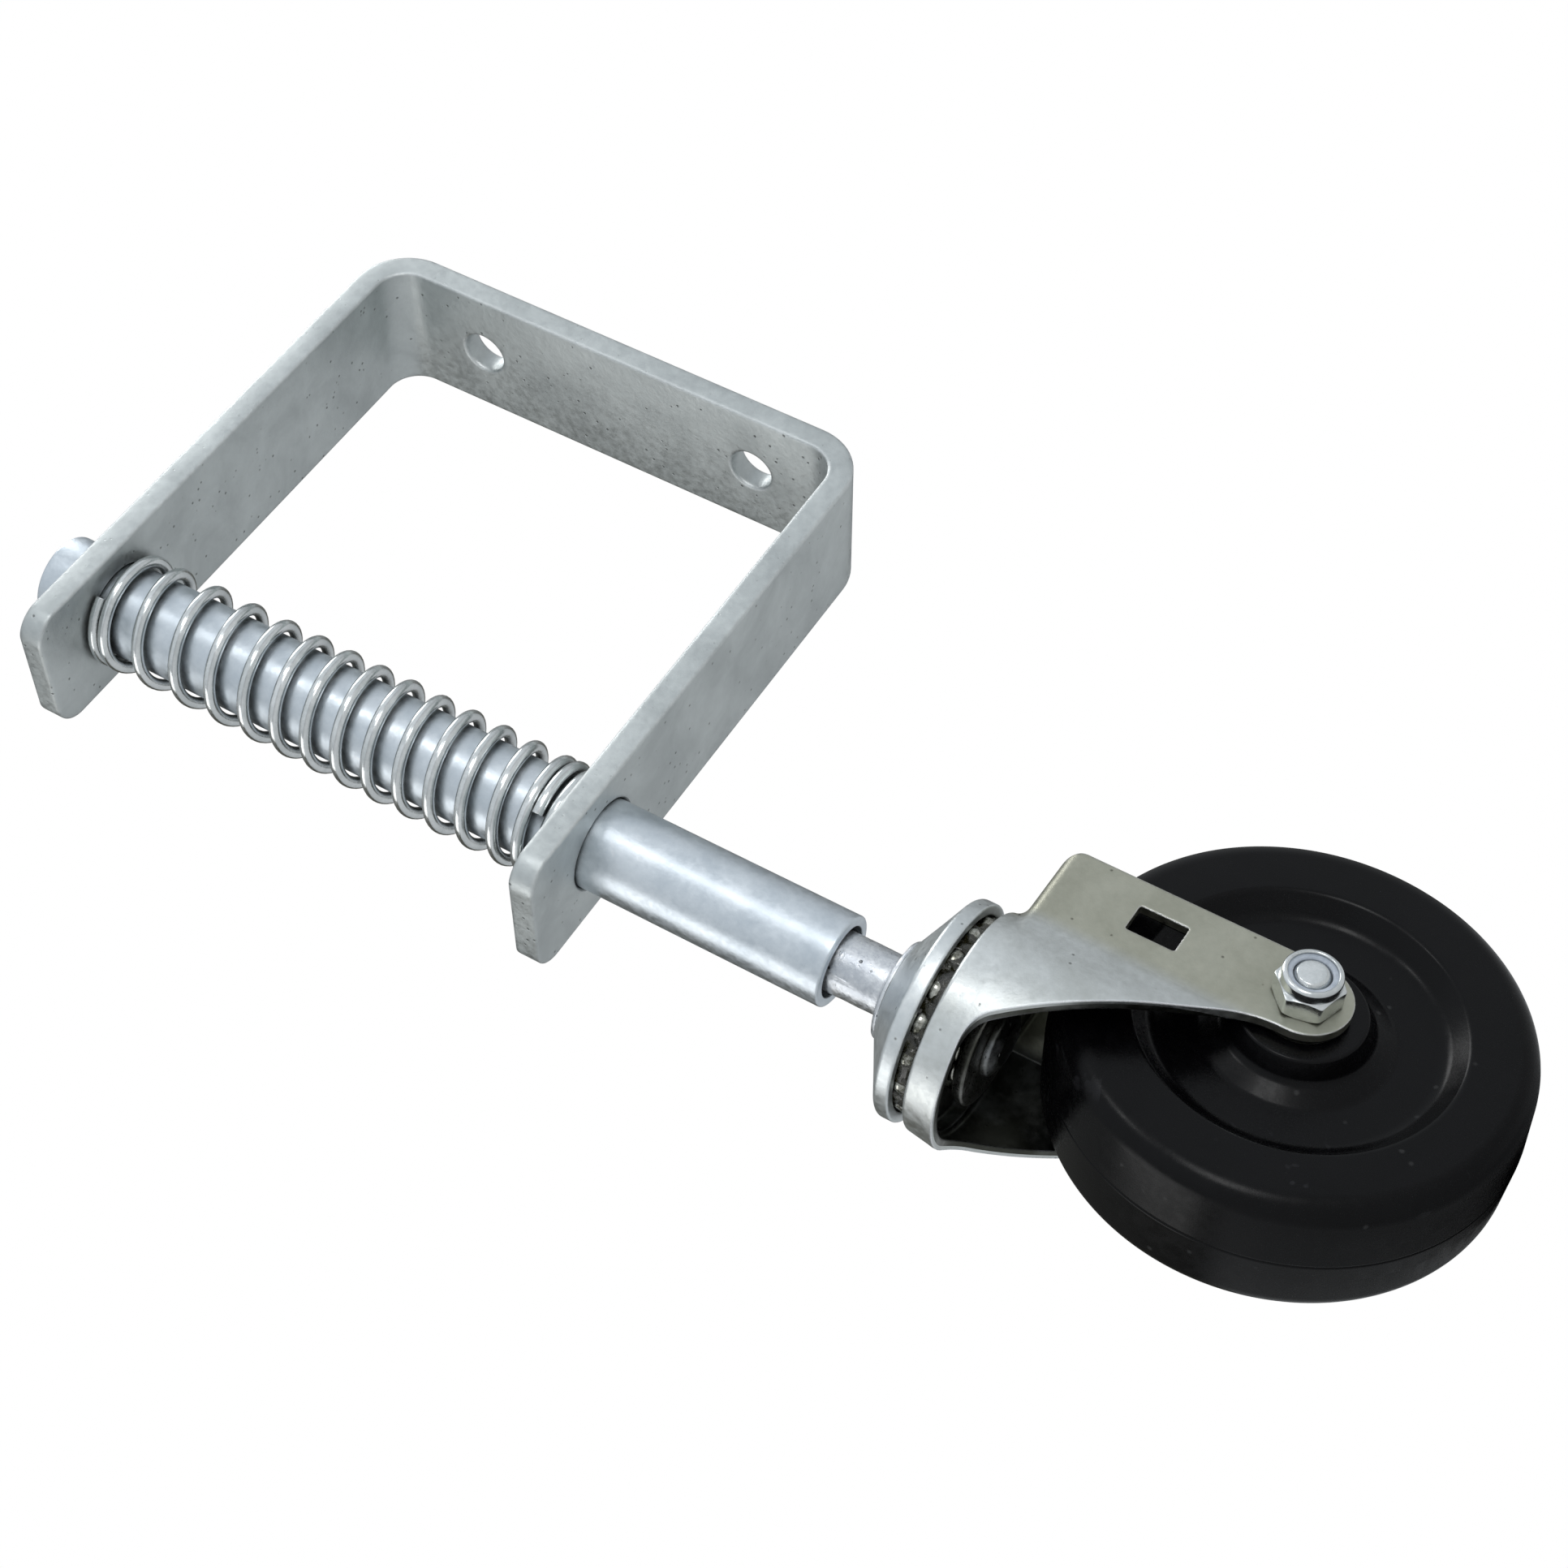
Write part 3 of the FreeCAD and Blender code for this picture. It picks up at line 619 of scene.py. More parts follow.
def sweep_wire(path, radius, sides=20):
    """Round wire along a list of points, with domed cut ends."""
    end_share, dome_share = 0.72, 0.12
    mesh = bmesh.new()
    rings = []
    side = (path[1] - path[0]).cross(Vector((0, 0, 1))).normalized()
    for index, place in enumerate(path):
        behind, ahead = path[max(index - 1, 0)], path[min(index + 1, len(path) - 1)]
        along = (ahead - behind).normalized()
        side = (side - along * side.dot(along)).normalized()
        over = along.cross(side)
        ring = []
        for angle in angles(sides):
            reach = side * radius * math.cos(angle) + over * radius * math.sin(angle)
            ring.append(mesh.verts.new(place + reach))
        rings.append(ring)
    stitch(mesh, rings, closed_path=False)
    for ring, inner in ((rings[0], path[1]), (rings[-1], path[-2])):
        centre = sum((v.co for v in ring), Vector()) / sides
        dome = centre + (centre - inner).normalized() * radius * dome_share
        small = [mesh.verts.new(dome + (v.co - centre) * end_share) for v in ring]
        stitch(mesh, [ring, small], closed_path=False)
        mesh.faces.new(small)
    return mesh


def build(name, mesh, place, body, slot, replaced=(), material=None):
    """Turn a bmesh into a smooth-shaded piece that rides on a body and stands for CAD nodes."""
    bmesh.ops.transform(mesh, matrix=place, verts=mesh.verts)
    bmesh.ops.recalc_face_normals(mesh, faces=mesh.faces)
    data = bpy.data.meshes.new(name)
    mesh.to_mesh(data)
    mesh.free()
    data.shade_smooth()
    data.set_sharp_from_angle(angle=SMOOTH_ANGLE)
    piece = bpy.data.objects.new(name, data)
    bpy.context.scene.collection.objects.link(piece)
    data.materials.append(MATERIALS[material or slot])
    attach(piece, body)
    if replaced:
        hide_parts(*replaced)
    return piece


def cut(piece, cutters):
    """Cut meshes out of a piece for good."""
    for cutter_mesh in cutters:
        data = bpy.data.meshes.new("cutter")
        bmesh.ops.recalc_face_normals(cutter_mesh, faces=cutter_mesh.faces)
        cutter_mesh.to_mesh(data)
        cutter_mesh.free()
        cutter = bpy.data.objects.new("cutter", data)
        bpy.context.scene.collection.objects.link(cutter)
        modifier = piece.modifiers.new("cut", "BOOLEAN")
        modifier.operation = "DIFFERENCE"
        modifier.solver = "EXACT"
        modifier.object = cutter
        bpy.context.view_layer.update()
        evaluated = piece.evaluated_get(bpy.context.evaluated_depsgraph_get())
        result = bpy.data.meshes.new_from_object(evaluated)
        piece.modifiers.clear()
        piece.data = result
        bpy.data.objects.remove(cutter)
    piece.data.shade_smooth()
    piece.data.set_sharp_from_angle(angle=SMOOTH_ANGLE)


# ======== bracket
bar_thickness = 6 * MM
bar_half_width = bar_high.x
bend_radius = 14 * MM
tip_radius = 7 * MM
bar_edge = 0.55 * MM
bar_ripple = 0.06 * MM
guide_radius = tube_radius + 0.25 * MM
gate_hole_radius = 5.5 * MM
gate_hole_rise = 38.5 * MM
hole_edge = 0.45 * MM


def bar_stations():
    """Stations along the bar's outer face: place, inward direction, half width and edge inset."""
    stations = []
    front, back, top = bar_low.y, bar_high.y, bar_high.z
    arm_start, arm_end = front + tip_radius, back - bend_radius
    arm_steps, bend_steps, back_steps = 36, 16, 20
    down, forward = Vector((0, 0, -1)), Vector((0, -1, 0))

    def rise(radius, gone):
        """Height of a quarter circle's arc after going some way in from its edge."""
        return math.sqrt(max(radius**2 - (radius - gone) ** 2, 0))

    eased = [bar_edge * (1 - math.cos(math.radians(angle))) for angle in range(0, 90, 18)]
    rounded = [tip_radius * (1 - math.cos(math.radians(angle))) for angle in range(24, 91, 6)]
    for gone in eased + rounded:
        width = bar_half_width - tip_radius + rise(tip_radius, gone)
        inset = bar_edge - rise(bar_edge, gone) if gone < bar_edge else 0
        stations.append((Vector((0, front + gone, top)), down, width, inset))
    for step in range(1, arm_steps):
        y = arm_start + (arm_end - arm_start) * step / arm_steps
        stations.append((Vector((0, y, top)), down, bar_half_width, 0))
    centre = Vector((0, arm_end, top - bend_radius))
    for step in range(bend_steps + 1):
        angle = math.radians(90 * step / bend_steps)
        outward = Vector((0, math.sin(angle), math.cos(angle)))
        stations.append((centre + outward * bend_radius, -outward, bar_half_width, 0))
    for step in range(1, back_steps):
        z = (top - bend_radius) * (1 - step / back_steps)
        stations.append((Vector((0, back, z)), forward, bar_half_width, 0))
    mirrored = [
        (Vector((0, place.y, -place.z)), Vector((0, inward.y, -inward.z)), width, inset)
        for place, inward, width, inset in reversed(stations)
    ]
    middle = (Vector((0, back, 0)), forward, bar_half_width, 0)
    return stations + [middle] + mirrored


def bar_section(half_width, inset):
    """Rounded rectangle of (x, depth) across the bar."""
    low, high = inset, bar_thickness - inset
    around = ((-1, low), (1, low), (1, high), (-1, high))
    section = [(side * half_width, depth, bar_edge) for side, depth in around]
    return rounded_outline(section, closed=True, steps=4)


def side_ripple(x, place):
    """Shift in x that keeps the bar's narrow sides uneven and inside their full width."""
    if abs(x) <= bar_half_width - 0.1 * MM:
        return 0
    wave = abs(noise.noise(Vector((x * 30, place.y * 60, place.z * 60))))
    return math.copysign(bar_ripple * (1 - wave), -x)


def make_bracket():
    mesh = bmesh.new()
    rings = []
    for place, inward, half_width, inset in bar_stations():
        ring = []
        for x, depth in bar_section(half_width, inset):
            across = Vector((x + side_ripple(x, place), 0, 0))
            ring.append(mesh.verts.new(place + inward * depth + across))
        rings.append(ring)
    stitch(mesh, rings, closed_path=False)
    mesh.faces.new(rings[0])
    mesh.faces.new(rings[-1])
    bracket = build("bracket_bar", mesh, Matrix(), "bracket", "zinc_bar", ["bracket"])
    cutters = []
    for low in (bar_high.z - bar_thickness, bar_low.z):
        cutters.append(hole_cutter(guide_radius, low, low + bar_thickness, ROD))
    for rise in (gate_hole_rise, -gate_hole_rise):
        facing = Matrix.Translation((0, 0, rise)) @ Matrix.Rotation(math.radians(-90), 4, "X")
        low = bar_high.y - bar_thickness
        cutters.append(hole_cutter(gate_hole_radius, low, bar_high.y, facing))
    cut(bracket, cutters)


def hole_cutter(radius, low, high, place):
    """Cutter for a hole through a plate from low to high, with eased rims."""
    spare = 2 * MM
    outline = [
        (0, low - spare),
        (radius + hole_edge + spare, low - spare),
        (radius, low + hole_edge),
        (radius, high - hole_edge),
        (radius + hole_edge + spare, high + spare),
        (0, high + spare),
    ]
    mesh = lathe(outline, turns=96, closed=False)
    bmesh.ops.transform(mesh, matrix=place, verts=mesh.verts)
    return mesh


make_bracket()


# ======== spring and ring
spring_wire = 2.8 * MM
spring_radius = tube_radius + 0.55 * MM + spring_wire / 2
spring_turns = 15
spring_end_heading = math.radians(-33)


def spring_pitch(turn):
    """Relative pitch: closed at both ends, widest near the top."""
    closed_turns, opening_turns = 0.85, 0.7
    closed = 2.85
    body = 8.6 + 2.3 * smooth_step((turn - 8.0) / 5.0)
    from_end = smooth_step((turn - closed_turns) / opening_turns)
    to_end = smooth_step((spring_turns - closed_turns - turn) / opening_turns)
    return closed + (body - closed) * from_end * to_end


def smooth_step(value):
    value = min(max(value, 0), 1)
    return value * value * (3 - 2 * value)


def make_spring():
    steps_per_turn = 56
    steps = spring_turns * steps_per_turn
    rises = [0.0]
    for step in range(steps):
        rises.append(rises[-1] + spring_pitch((step + 0.5) / steps_per_turn))
    arm_face = bar_high.z - bar_thickness
    end_gap = 0.12 * MM + spring_wire / 2
    low, high = ring_high.z + end_gap, arm_face - end_gap
    path = []
    for step, rise in enumerate(rises):
        turn = step / steps_per_turn
        angle = spring_end_heading + 2 * math.pi * turn
        drift = 0.12 * MM * noise.noise(Vector((turn * 0.9, 0, 3.0)))
        height = low + (high - low) * rise / rises[-1]
        path.append(polar(spring_radius + drift + 0.1 * MM, angle, height))
    mesh = sweep_wire(path, spring_wire / 2)
    spring = build("spring_coil", mesh, ROD, "bracket", "zinc_bright", ["spring"])
    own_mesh(spring)


def make_retaining_ring():
    """Split ring of round wire, sunk a little in the tube's groove."""
    wire = (ring_high.z - ring_low.z) / 2
    centre_z = (ring_high.z + ring_low.z) / 2
    pitch_radius = tube_radius - 0.8 * MM + wire
    gap = math.radians(32)
    heading = math.radians(-65)
    steps = 120
    path = []
    for step in range(steps + 1):
        angle = heading + gap / 2 + (2 * math.pi - gap) * step / steps
        path.append(polar(pitch_radius, angle, centre_z))
    mesh = sweep_wire(path, wire - FIT, sides=28)
    build("split_ring", mesh, ROD, "rod", "zinc_bright", ["retaining_ring"])


make_spring()
make_retaining_ring()


# ======== tube, plug and stem
tube_wall = 2.3 * MM
tube_bore = tube_radius - tube_wall
stem_radius = (stem_high.x - stem_low.x) / 2


def make_tube():
    groove_z = (ring_low.z + ring_high.z) / 2
    groove_half, groove_depth = 1.25 * MM, 0.75 * MM
    outline = rounded_outline(
        [
            (tube_bore, tube_low.z, 0.25 * MM),
            (tube_radius, tube_low.z, 0.6 * MM),
            (tube_radius, groove_z - groove_half, 0.15 * MM),
            (tube_radius - groove_depth, groove_z, 0.6 * MM),
            (tube_radius, groove_z + groove_half, 0.15 * MM),
            (tube_radius, tube_high.z, 0.6 * MM),
            (tube_bore, tube_high.z, 0.3 * MM),
        ],
        closed=True,
        steps=5,
    )
    outline = divided(outline, 6 * MM)

    def wobble(radius, height, angle):
        if radius < tube_radius - 0.1 * MM:
            return radius, height
        wave = noise.noise(polar(1, angle, height * 25))
        return radius - 0.03 * MM * (1 + wave), height

    build("tube", lathe(outline, 144, wobble=wobble), ROD, "rod", "zinc_tube", ["slide_tube"])


def divided(outline, longest):
    """Closed outline with its long stretches cut into shorter ones."""
    parts = []
    for index, place in enumerate(outline):
        following = outline[(index + 1) % len(outline)]
        count = max(1, math.ceil((following - place).length / longest))
        for step in range(count):
            parts.append(place.lerp(following, step / count))
    return parts


def make_plug():
    """Disc pressed in the tube's upper end, slightly domed, with a rolled rim."""
    low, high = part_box("tube_plug")
    plug_radius = tube_bore - FIT
    outline = rounded_outline(
        [
            (0, low.z, 0),
            (plug_radius, low.z, 0.3 * MM),
            (plug_radius, high.z, 0.5 * MM),
            (tube_bore - 1.2 * MM, high.z, 0.3 * MM),
            (tube_bore - 1.6 * MM, high.z - 0.5 * MM, 0.4 * MM),
            (0, high.z - 0.2 * MM, 0),
        ],
        closed=False,
    )
    mesh = lathe(outline, 96, closed=False)
    build("tube_end_plug", mesh, ROD, "rod", "zinc_tube", ["tube_plug"])


def make_stem():
    """Forged stem: an uneven skin where it shows, smooth inside the tube."""
    low, high = stem_low.z, stem_high.z
    exposed_top = tube_low.z + 8 * MM
    chamfer = 0.6 * MM
    count = 70
    outline = [Vector((0, low))]
    for step in range(count + 1):
        outline.append(Vector((stem_radius, low + (exposed_top - low) * step / count)))
    outline.append(Vector((stem_radius, high - chamfer)))
    outline.append(Vector((stem_radius - chamfer, high)))
    outline.append(Vector((0, high)))

    def wobble(radius, height, angle):
        place = polar(1.6, angle, height * 260)
        swell = noise.noise(place) * 0.55
        swell += noise.noise(place * 3.1) * 0.25 + noise.noise(place * 7.0) * 0.12
        depth = 0.32 * MM if height < exposed_top else 0.05 * MM
        return radius - depth * (0.45 + 0.5 * swell), height

    mesh = lathe(outline, 150, closed=False, wobble=wobble)
    build("stem_rod", mesh, ROD, "rod", "zinc_rough", ["stem"])


make_tube()
make_plug()
make_stem()


# ======== swivel head
collar_radius = (pin_high.x - pin_low.x) / 2
collar_neck = 7.7 * MM
pin_radius = 5 * MM
cap_radius = (cap_high.x - cap_low.x) / 2
cap_thickness = 2.5 * MM
cap_rim_height = 2.8 * MM


def make_collar():
    """Collar above the cap with its pin and peened head below; the collar has hammered facets."""
    head_radius = 8 * MM
    head_top, collar_foot = race_low.z - FIT, cap_high.z + FIT
    outline = rounded_outline(
        [
            (0, pin_low.z, 0),
            (head_radius - 3.2 * MM, pin_low.z, 1.5 * MM),
            (head_radius, pin_low.z + 1.4 * MM, 0.8 * MM),
            (head_radius, head_top, 0.2 * MM),
            (pin_radius, head_top, 0),
            (pin_radius, collar_foot, 0),
            (collar_radius, collar_foot, 0.25 * MM),
            (collar_radius - 0.5 * MM, cap_high.z + 1.1 * MM, 0.5 * MM),
            (collar_neck + 1.1 * MM, pin_high.z - 0.5 * MM, 0.8 * MM),
            (collar_neck - 0.3 * MM, pin_high.z, 0.3 * MM),
            (0, pin_high.z, 0),
        ],
        closed=False,
        steps=6,
    )

    def wobble(radius, height, angle):
        if height < cap_high.z or radius < collar_neck:
            return radius, height
        facet = abs(math.sin(angle * 5.5)) * 0.10 * MM
        swell = noise.noise(polar(2, angle, height * 400)) * 0.15 * MM
        return radius - facet - abs(swell), height

    mesh = lathe(outline, 180, closed=False, wobble=wobble)
    build("king_pin", mesh, ROD, "rod", "zinc_rough", ["kingpin"])


def make_cap():
    """Pressed cap: a cone that swells a little, a rolled shoulder and a turned-down rim."""
    cone_foot = cap_low.z + cap_rim_height
    roof = cap_high.z - cap_thickness * 1.25
    inner = cap_radius - cap_thickness
    slope = (cap_high.z - cone_foot) / (cap_radius - collar_radius)
    outline = rounded_outline(
        [
            (pin_radius, cap_high.z, 0),
            (collar_radius, cap_high.z, 1.2 * MM),
            (cap_radius - 6.0 * MM, cone_foot + 6.0 * MM * slope + 0.25 * MM, 14 * MM),
            (cap_radius, cone_foot + 0.55 * MM, 1.3 * MM),
            (cap_radius, cap_low.z, 0.45 * MM),
            (inner, cap_low.z, 0.45 * MM),
            (inner, cone_foot - 1.6 * MM, 0.8 * MM),
            (collar_radius, roof, 1.0 * MM),
            (pin_radius, roof, 0),
        ],
        closed=True,
        steps=10,
    )

    def wobble(radius, height, angle):
        ripple = noise.noise(polar(2.5, angle, radius * 90))
        return radius - abs(ripple) * 0.05 * MM, height

    mesh = lathe(outline, 192, wobble=wobble)
    build("cap_pressing", mesh, ROD, "rod", "zinc_cap", ["swivel_cap"])


def make_lower_race():
    """Disc under the crown, with a shallow groove in its top for the balls."""
    bore, radius = pin_radius + FIT, (race_high.x - race_low.x) / 2
    groove_radius, groove_half = 11.2 * MM, 2.0 * MM
    outline = rounded_outline(
        [
            (bore, race_low.z, 0.2 * MM),
            (radius, race_low.z, 0.6 * MM),
            (radius, race_high.z, 0.6 * MM),
            (groove_radius + groove_half, race_high.z, 0.3 * MM),
            (groove_radius, race_high.z - 0.5 * MM, 1.5 * MM),
            (groove_radius - groove_half, race_high.z, 0.3 * MM),
            (bore, race_high.z, 0.2 * MM),
        ],
        closed=True,
        steps=5,
    )
    build("race_washer", lathe(outline, 120), ROD, "rod", "race_steel", ["lower_race"])


def make_grease():
    """Grease between crown and cap, with lumps, and hollows where the balls glint."""
    mesh = bmesh.new()
    floor_z = ball_low.z + 0.62 * MM
    roof_z = cap_low.z + 0.75 * MM
    outer = cap_radius - cap_thickness - 0.25 * MM
    inner = 16.0 * MM
    fullness = 1.5
    rings = []
    for angle in angles(300):
        ring = []
        for around in angles(20):
            outward = min(max(fullness * math.cos(around), -1), 1)
            upward = min(max(fullness * math.sin(around), -1), 1)
            seed = polar(11, angle, upward * 0.8)
            lump = 0.22 + 1.5 * noise.noise(seed) + 0.4 * noise.noise(seed * 2.7)
            lump = min(max(lump, 0.05), 1.3) * MM
            radius = (outer + inner) / 2 + outward * (outer - inner) / 2
            if outward > 0:
                radius = min(radius - lump * outward, outer)
            height = (floor_z + roof_z) / 2 + upward * (roof_z - floor_z) / 2
            ring.append(mesh.verts.new(polar(radius, angle, height)))
        rings.append(ring)
    stitch(mesh, rings)
    build("race_grease", mesh, ROD, "race_balls", "race_steel", material="grease")


make_collar()
make_cap()
make_lower_race()
make_grease()


# ======== wheel
wheel_radius = 50 * MM
wheel_half = 16.5 * MM
hub_half = 18.7 * MM


def make_wheel():
    """Moulded wheel: crowned tread with a parting line, round shoulders, dished web and hub boss."""
    tread_edge = wheel_radius - 0.9 * MM
    web = wheel_half - 5 * MM
    bore, boss_radius, boss_foot = 9 * MM, 13.6 * MM, 15.6 * MM
    web_start, web_end, rim_start = 20.5 * MM, 30.4 * MM, 34.6 * MM
    half = [
        (bore, hub_half, 0.3 * MM),
        (boss_radius, hub_half, 0.8 * MM),
        (boss_foot, web + 2.2 * MM, 3.0 * MM),
        (web_start, web, 3.5 * MM),
        (web_end, web, 4.0 * MM),
        (rim_start, wheel_half - 0.1 * MM, 1.8 * MM),
        (tread_edge, wheel_half, 5.2 * MM),
        (wheel_radius - 0.25 * MM, 5.0 * MM, 12 * MM),
        (wheel_radius, 0.55 * MM, 0.2 * MM),
    ]
    half.append((wheel_radius - 0.02 * MM, 0.25 * MM, 0.1 * MM))
    parting_line = (wheel_radius - 0.28 * MM, 0, 0.1 * MM)
    mirrored = [(radius, -height, rounding) for radius, height, rounding in reversed(half)]
    outline = rounded_outline(half + [parting_line] + mirrored, closed=True, steps=12)
    build("wheel_moulding", lathe(outline, 256), AXLE, "wheel", "wheel_rubber", ["wheel"])


make_wheel()


# ======== axle nut and bolt
hex_radius = 6.5 * MM
hex_corner_radius = hex_radius * 1.135
leg_outer = 22.4 * MM
bolt_radius = 4 * MM
nut_outer = leg_outer + 8 * MM
insert_radius = 5.6 * MM


def hex_reach(angle):
    """Distance from the axis to a hexagon's side."""
    folded = (angle + math.pi / 6) % (math.pi / 3) - math.pi / 6
    return hex_radius / math.cos(folded)


def hex_body(near, far, chamfered_ends, bore, turns=144):
    """Hexagonal body from near to far along Z, chamfered by a 30 degree cone at the given ends."""
    mesh = bmesh.new()
    flat_radius = hex_radius - 0.15 * MM
    slope = math.tan(math.radians(30))
    direction = 1 if far > near else -1
    rings = []
    for angle in angles(turns):
        reach = min(hex_reach(angle), hex_corner_radius)
        drop = (reach - flat_radius) * slope
        near_drop = drop if "near" in chamfered_ends else 0.0
        far_drop = drop if "far" in chamfered_ends else 0.0
        section = [
            (bore, near),
            (flat_radius, near),
            (reach, near + direction * near_drop),
            (reach, far - direction * far_drop),
            (flat_radius, far),
            (bore, far),
        ]
        rings.append([mesh.verts.new(polar(radius, angle, height)) for radius, height in section])
    stitch(mesh, rings, closed_rings=bore > 0)
    bmesh.ops.remove_doubles(mesh, verts=mesh.verts, dist=1e-7)
    return mesh


def joined(first, second):
    """Second mesh added to the first."""
    data = bpy.data.meshes.new("part")
    second.to_mesh(data)
    second.free()
    first.from_mesh(data)
    bpy.data.meshes.remove(data)
    return first


def make_nut():
    """Lock nut: chamfered hexagon, round collar with its lip rolled over the nylon ring."""
    hex_end = leg_outer + 5.2 * MM
    collar_foot, collar_end = hex_end - 0.2 * MM, nut_outer - FIT
    pocket, outer, lip = insert_radius + FIT, 6.38 * MM, 5.15 * MM
    body = hex_body(leg_outer + FIT, hex_end, ("near", "far"), bolt_radius + FIT)
    collar = rounded_outline(
        [
            (pocket, collar_foot, 0),
            (outer, collar_foot, 0),
            (outer, collar_end, 0.9 * MM),
            (lip, collar_end, 0.35 * MM),
            (lip, nut_outer - 0.55 * MM, 0.15 * MM),
            (pocket, nut_outer - 0.6 * MM, 0),
        ],
        closed=True,
        steps=8,
    )
    body = joined(body, lathe(collar, 120))
    place = AXLE @ Matrix.Rotation(math.radians(12), 4, "Z")
    build("axle_nut", body, place, "fork", "zinc_bright", ["lock_nut"])


def make_insert():
    """Nylon ring in the lock nut's collar."""
    low, high = nut_outer - 2.7 * MM, nut_outer - 0.62 * MM
    bore, outer = bolt_radius + 0.03 * MM, insert_radius - FIT
    outline = rounded_outline(
        [
            (bore, low, 0),
            (outer, low, 0),
            (outer, high, 0.1 * MM),
            (bolt_radius + 0.35 * MM, high, 0.3 * MM),
            (bore, high - 0.3 * MM, 0.1 * MM),
        ],
        closed=True,
        steps=4,
    )
    build("nut_ring", lathe(outline, 96), AXLE, "fork", "nylon", ["nut_insert"])


def make_bolt():
    """Axle bolt: chamfered hexagon head, plain shank and a chamfered threaded end."""
    head_end = -leg_outer - 5.3 * MM
    end = nut_outer - 0.3 * MM
    thread_start = leg_outer + 5.0 * MM
    shank_start = -leg_outer - 0.5 * MM
    pitch, thread_depth = 1.25 * MM, 0.45 * MM
    outline = [Vector((0, shank_start)), Vector((bolt_radius, shank_start))]
    outline.append(Vector((bolt_radius, thread_start)))
    for crest in range(int((end - 0.6 * MM - thread_start) / pitch)):
        base = thread_start + crest * pitch
        outline.append(Vector((bolt_radius - thread_depth, base + pitch * 0.5)))
        outline.append(Vector((bolt_radius, base + pitch)))
    outline += rounded_outline(
        [
            (bolt_radius, end - 1.2 * MM, 0),
            (bolt_radius - 0.75 * MM, end - 0.1 * MM, 0.3 * MM),
            (bolt_radius - 1.3 * MM, end, 0.4 * MM),
            (0, end + 0.1 * MM, 0),
        ],
        closed=False,
        steps=5,
    )
    shank = lathe(outline, 96, closed=False)
    head = hex_body(-leg_outer - FIT, head_end, ("far",), 0.0)
    place = AXLE @ Matrix.Rotation(math.radians(20), 4, "Z")
    build("axle_bolt_turned", joined(shank, head), place, "fork", "zinc_bright", ["axle_bolt"])


def make_washers():
    """Thin thrust washers with eased rims, one each side of the hub."""
    bore, outer = 6.4 * MM, 8.5 * MM
    start, end = 18.82 * MM, 19.88 * MM
    section = [
        (bore, start, 0.2 * MM),
        (outer, start, 0.35 * MM),
        (outer, end, 0.35 * MM),
        (bore, end, 0.2 * MM),
    ]
    outline = rounded_outline(section, closed=True, steps=5)
    for name, side in (("hub_washer_left", -1), ("hub_washer_right", 1)):
        turned_outline = [Vector((radius, side * height)) for radius, height in outline]
        build(f"{name}_turned", lathe(turned_outline, 96), AXLE, "fork", "zinc_bright", [name])


make_nut()
make_insert()
make_bolt()
make_washers()


# ======== pieces kept as the frame has them
KEPT = {
    "fork": "zinc_sheet",
    "upper_balls": "ball_steel",
    "lower_balls": "ball_steel",
    "grip_sleeve": "race_steel",
    "axle_sleeve": "race_steel",
    "hub_bushing": "race_steel",
}
for name, material in KEPT.items():
    NODES[name].data.materials.clear()
    NODES[name].data.materials.append(MATERIALS[material])


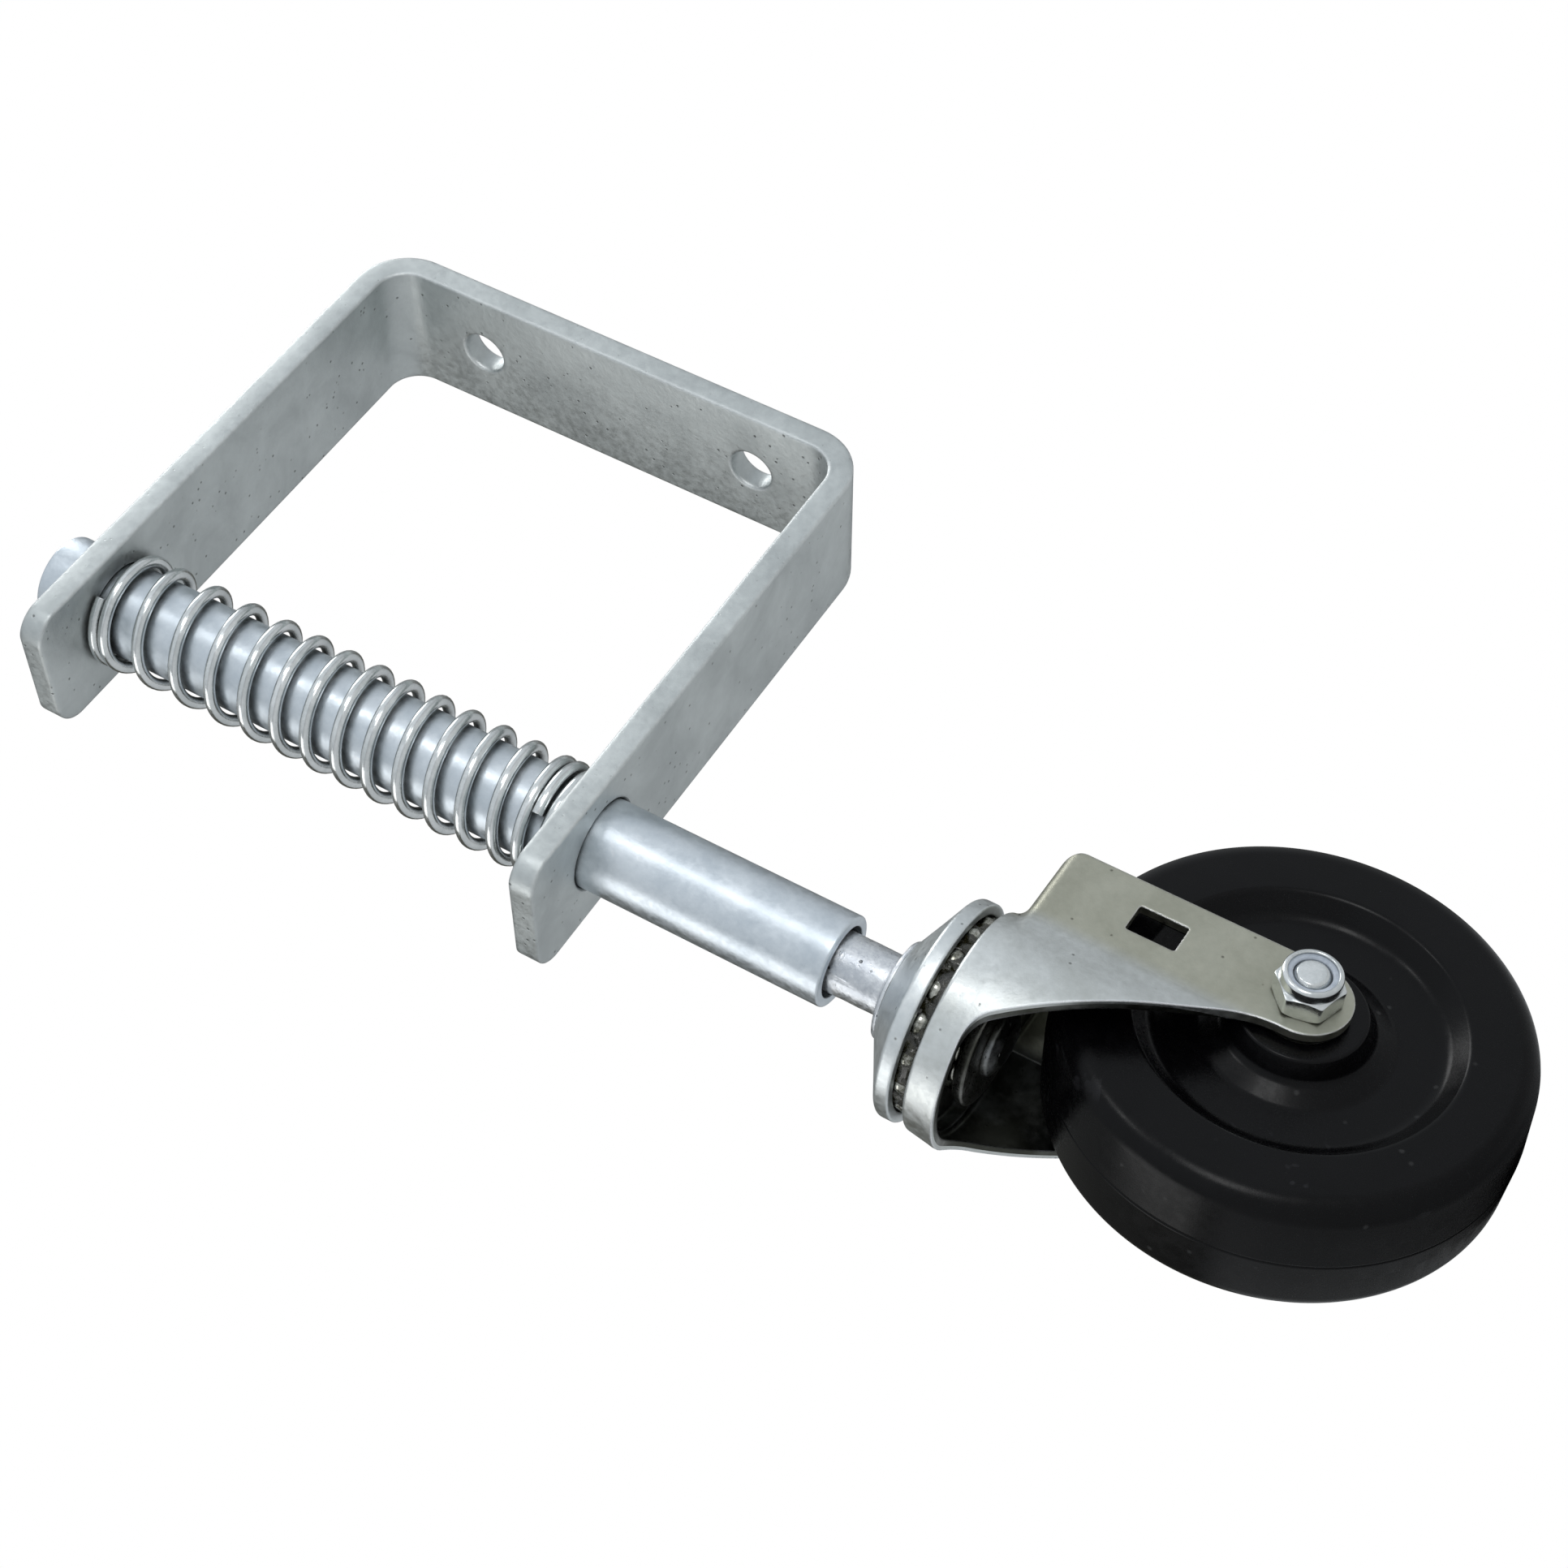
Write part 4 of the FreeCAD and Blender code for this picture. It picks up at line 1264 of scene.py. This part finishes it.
# ======== floor, light and surroundings
def make_floor():
    """Plain pale floor under the wheel, seen only from above."""
    floor_radius = 3.0
    mesh = bmesh.new()
    bmesh.ops.create_circle(mesh, cap_ends=True, segments=96, radius=floor_radius)
    data = bpy.data.meshes.new("floor")
    mesh.to_mesh(data)
    mesh.free()
    floor = bpy.data.objects.new("floor", data)
    floor.location = (0, rod_y, CAD_BOX[0].z)
    bpy.context.scene.collection.objects.link(floor)
    material = bpy.data.materials.new("floor_paint")
    material.use_nodes = True
    tree = material.node_tree
    shader = tree.nodes["Principled BSDF"]
    shader.inputs["Roughness"].default_value = 0.8
    vector = tree.nodes.new("ShaderNodeTexCoord").outputs["Object"]
    tone = colour_mix(tree, clouds(tree, vector, 6.0), grey(0.78), grey(0.82))
    tree.links.new(tone, shader.inputs["Base Color"])
    see_through = tree.nodes.new("ShaderNodeBsdfTransparent")
    behind = tree.nodes.new("ShaderNodeNewGeometry").outputs["Backfacing"]
    sides = {0: behind, 1: shader.outputs[0], 2: see_through.outputs[0]}
    both = node(tree, "ShaderNodeMixShader", sides)
    tree.links.new(both.outputs[0], tree.nodes["Material Output"].inputs["Surface"])
    data.materials.append(material)


def make_light(name, place, target, size, power):
    data = bpy.data.lights.new(name, "AREA")
    data.shape = "RECTANGLE"
    data.size, data.size_y = size
    data.energy = power
    light = bpy.data.objects.new(name, data)
    light.location = place
    light.rotation_euler = (target - place).to_track_quat("-Z", "Y").to_euler()
    bpy.context.scene.collection.objects.link(light)


def make_surroundings():
    """White backdrop to the eye; as a light, a soft sky that is bright on the axle nut's side."""
    world = bpy.data.worlds.new("studio")
    bpy.context.scene.world = world
    world.use_nodes = True
    tree = world.node_tree
    background = tree.nodes["Background"]
    direction = tree.nodes.new("ShaderNodeTexCoord").outputs["Generated"]
    bright_side = Vector((0.90, -0.10, 0.40)).normalized()
    level = ramp(tree, along(tree, direction, bright_side), -0.85, 0.85)
    tone = colour_mix(tree, level, (0.09, 0.09, 0.078, 1), (0.72, 0.76, 0.80, 1))
    tree.links.new(tone, background.inputs["Color"])
    white = node(tree, "ShaderNodeBackground", {"Color": (1, 1, 1, 1), "Strength": 1.0})
    seen = tree.nodes.new("ShaderNodeLightPath").outputs["Is Camera Ray"]
    both = node(tree, "ShaderNodeMixShader", {0: seen, 1: background.outputs[0], 2: white.outputs[0]})
    tree.links.new(both.outputs[0], tree.nodes["World Output"].inputs["Surface"])


def make_lights():
    middle = Vector((0, -0.08, -0.08))
    lights = (
        ("key", (0.92, -0.14, -0.08), (0.34, 0.24), 1.35),
        ("streak", (0.85, -0.12, 0.42), (0.16, 0.16), 0.55),
        ("fill", (-0.45, -0.90, 0.25), (0.6, 0.6), 1.7),
        ("top", (0.20, 0.45, 0.80), (0.4, 0.4), 2.0),
    )
    for name, offset, size, power in lights:
        make_light(name, middle + Vector(offset), middle, size, power)


make_floor()
make_surroundings()
make_lights()
bpy.context.scene.view_settings.view_transform = "Standard"


# ======== close
def corners(box):
    return [list(box[0]), list(box[1])]
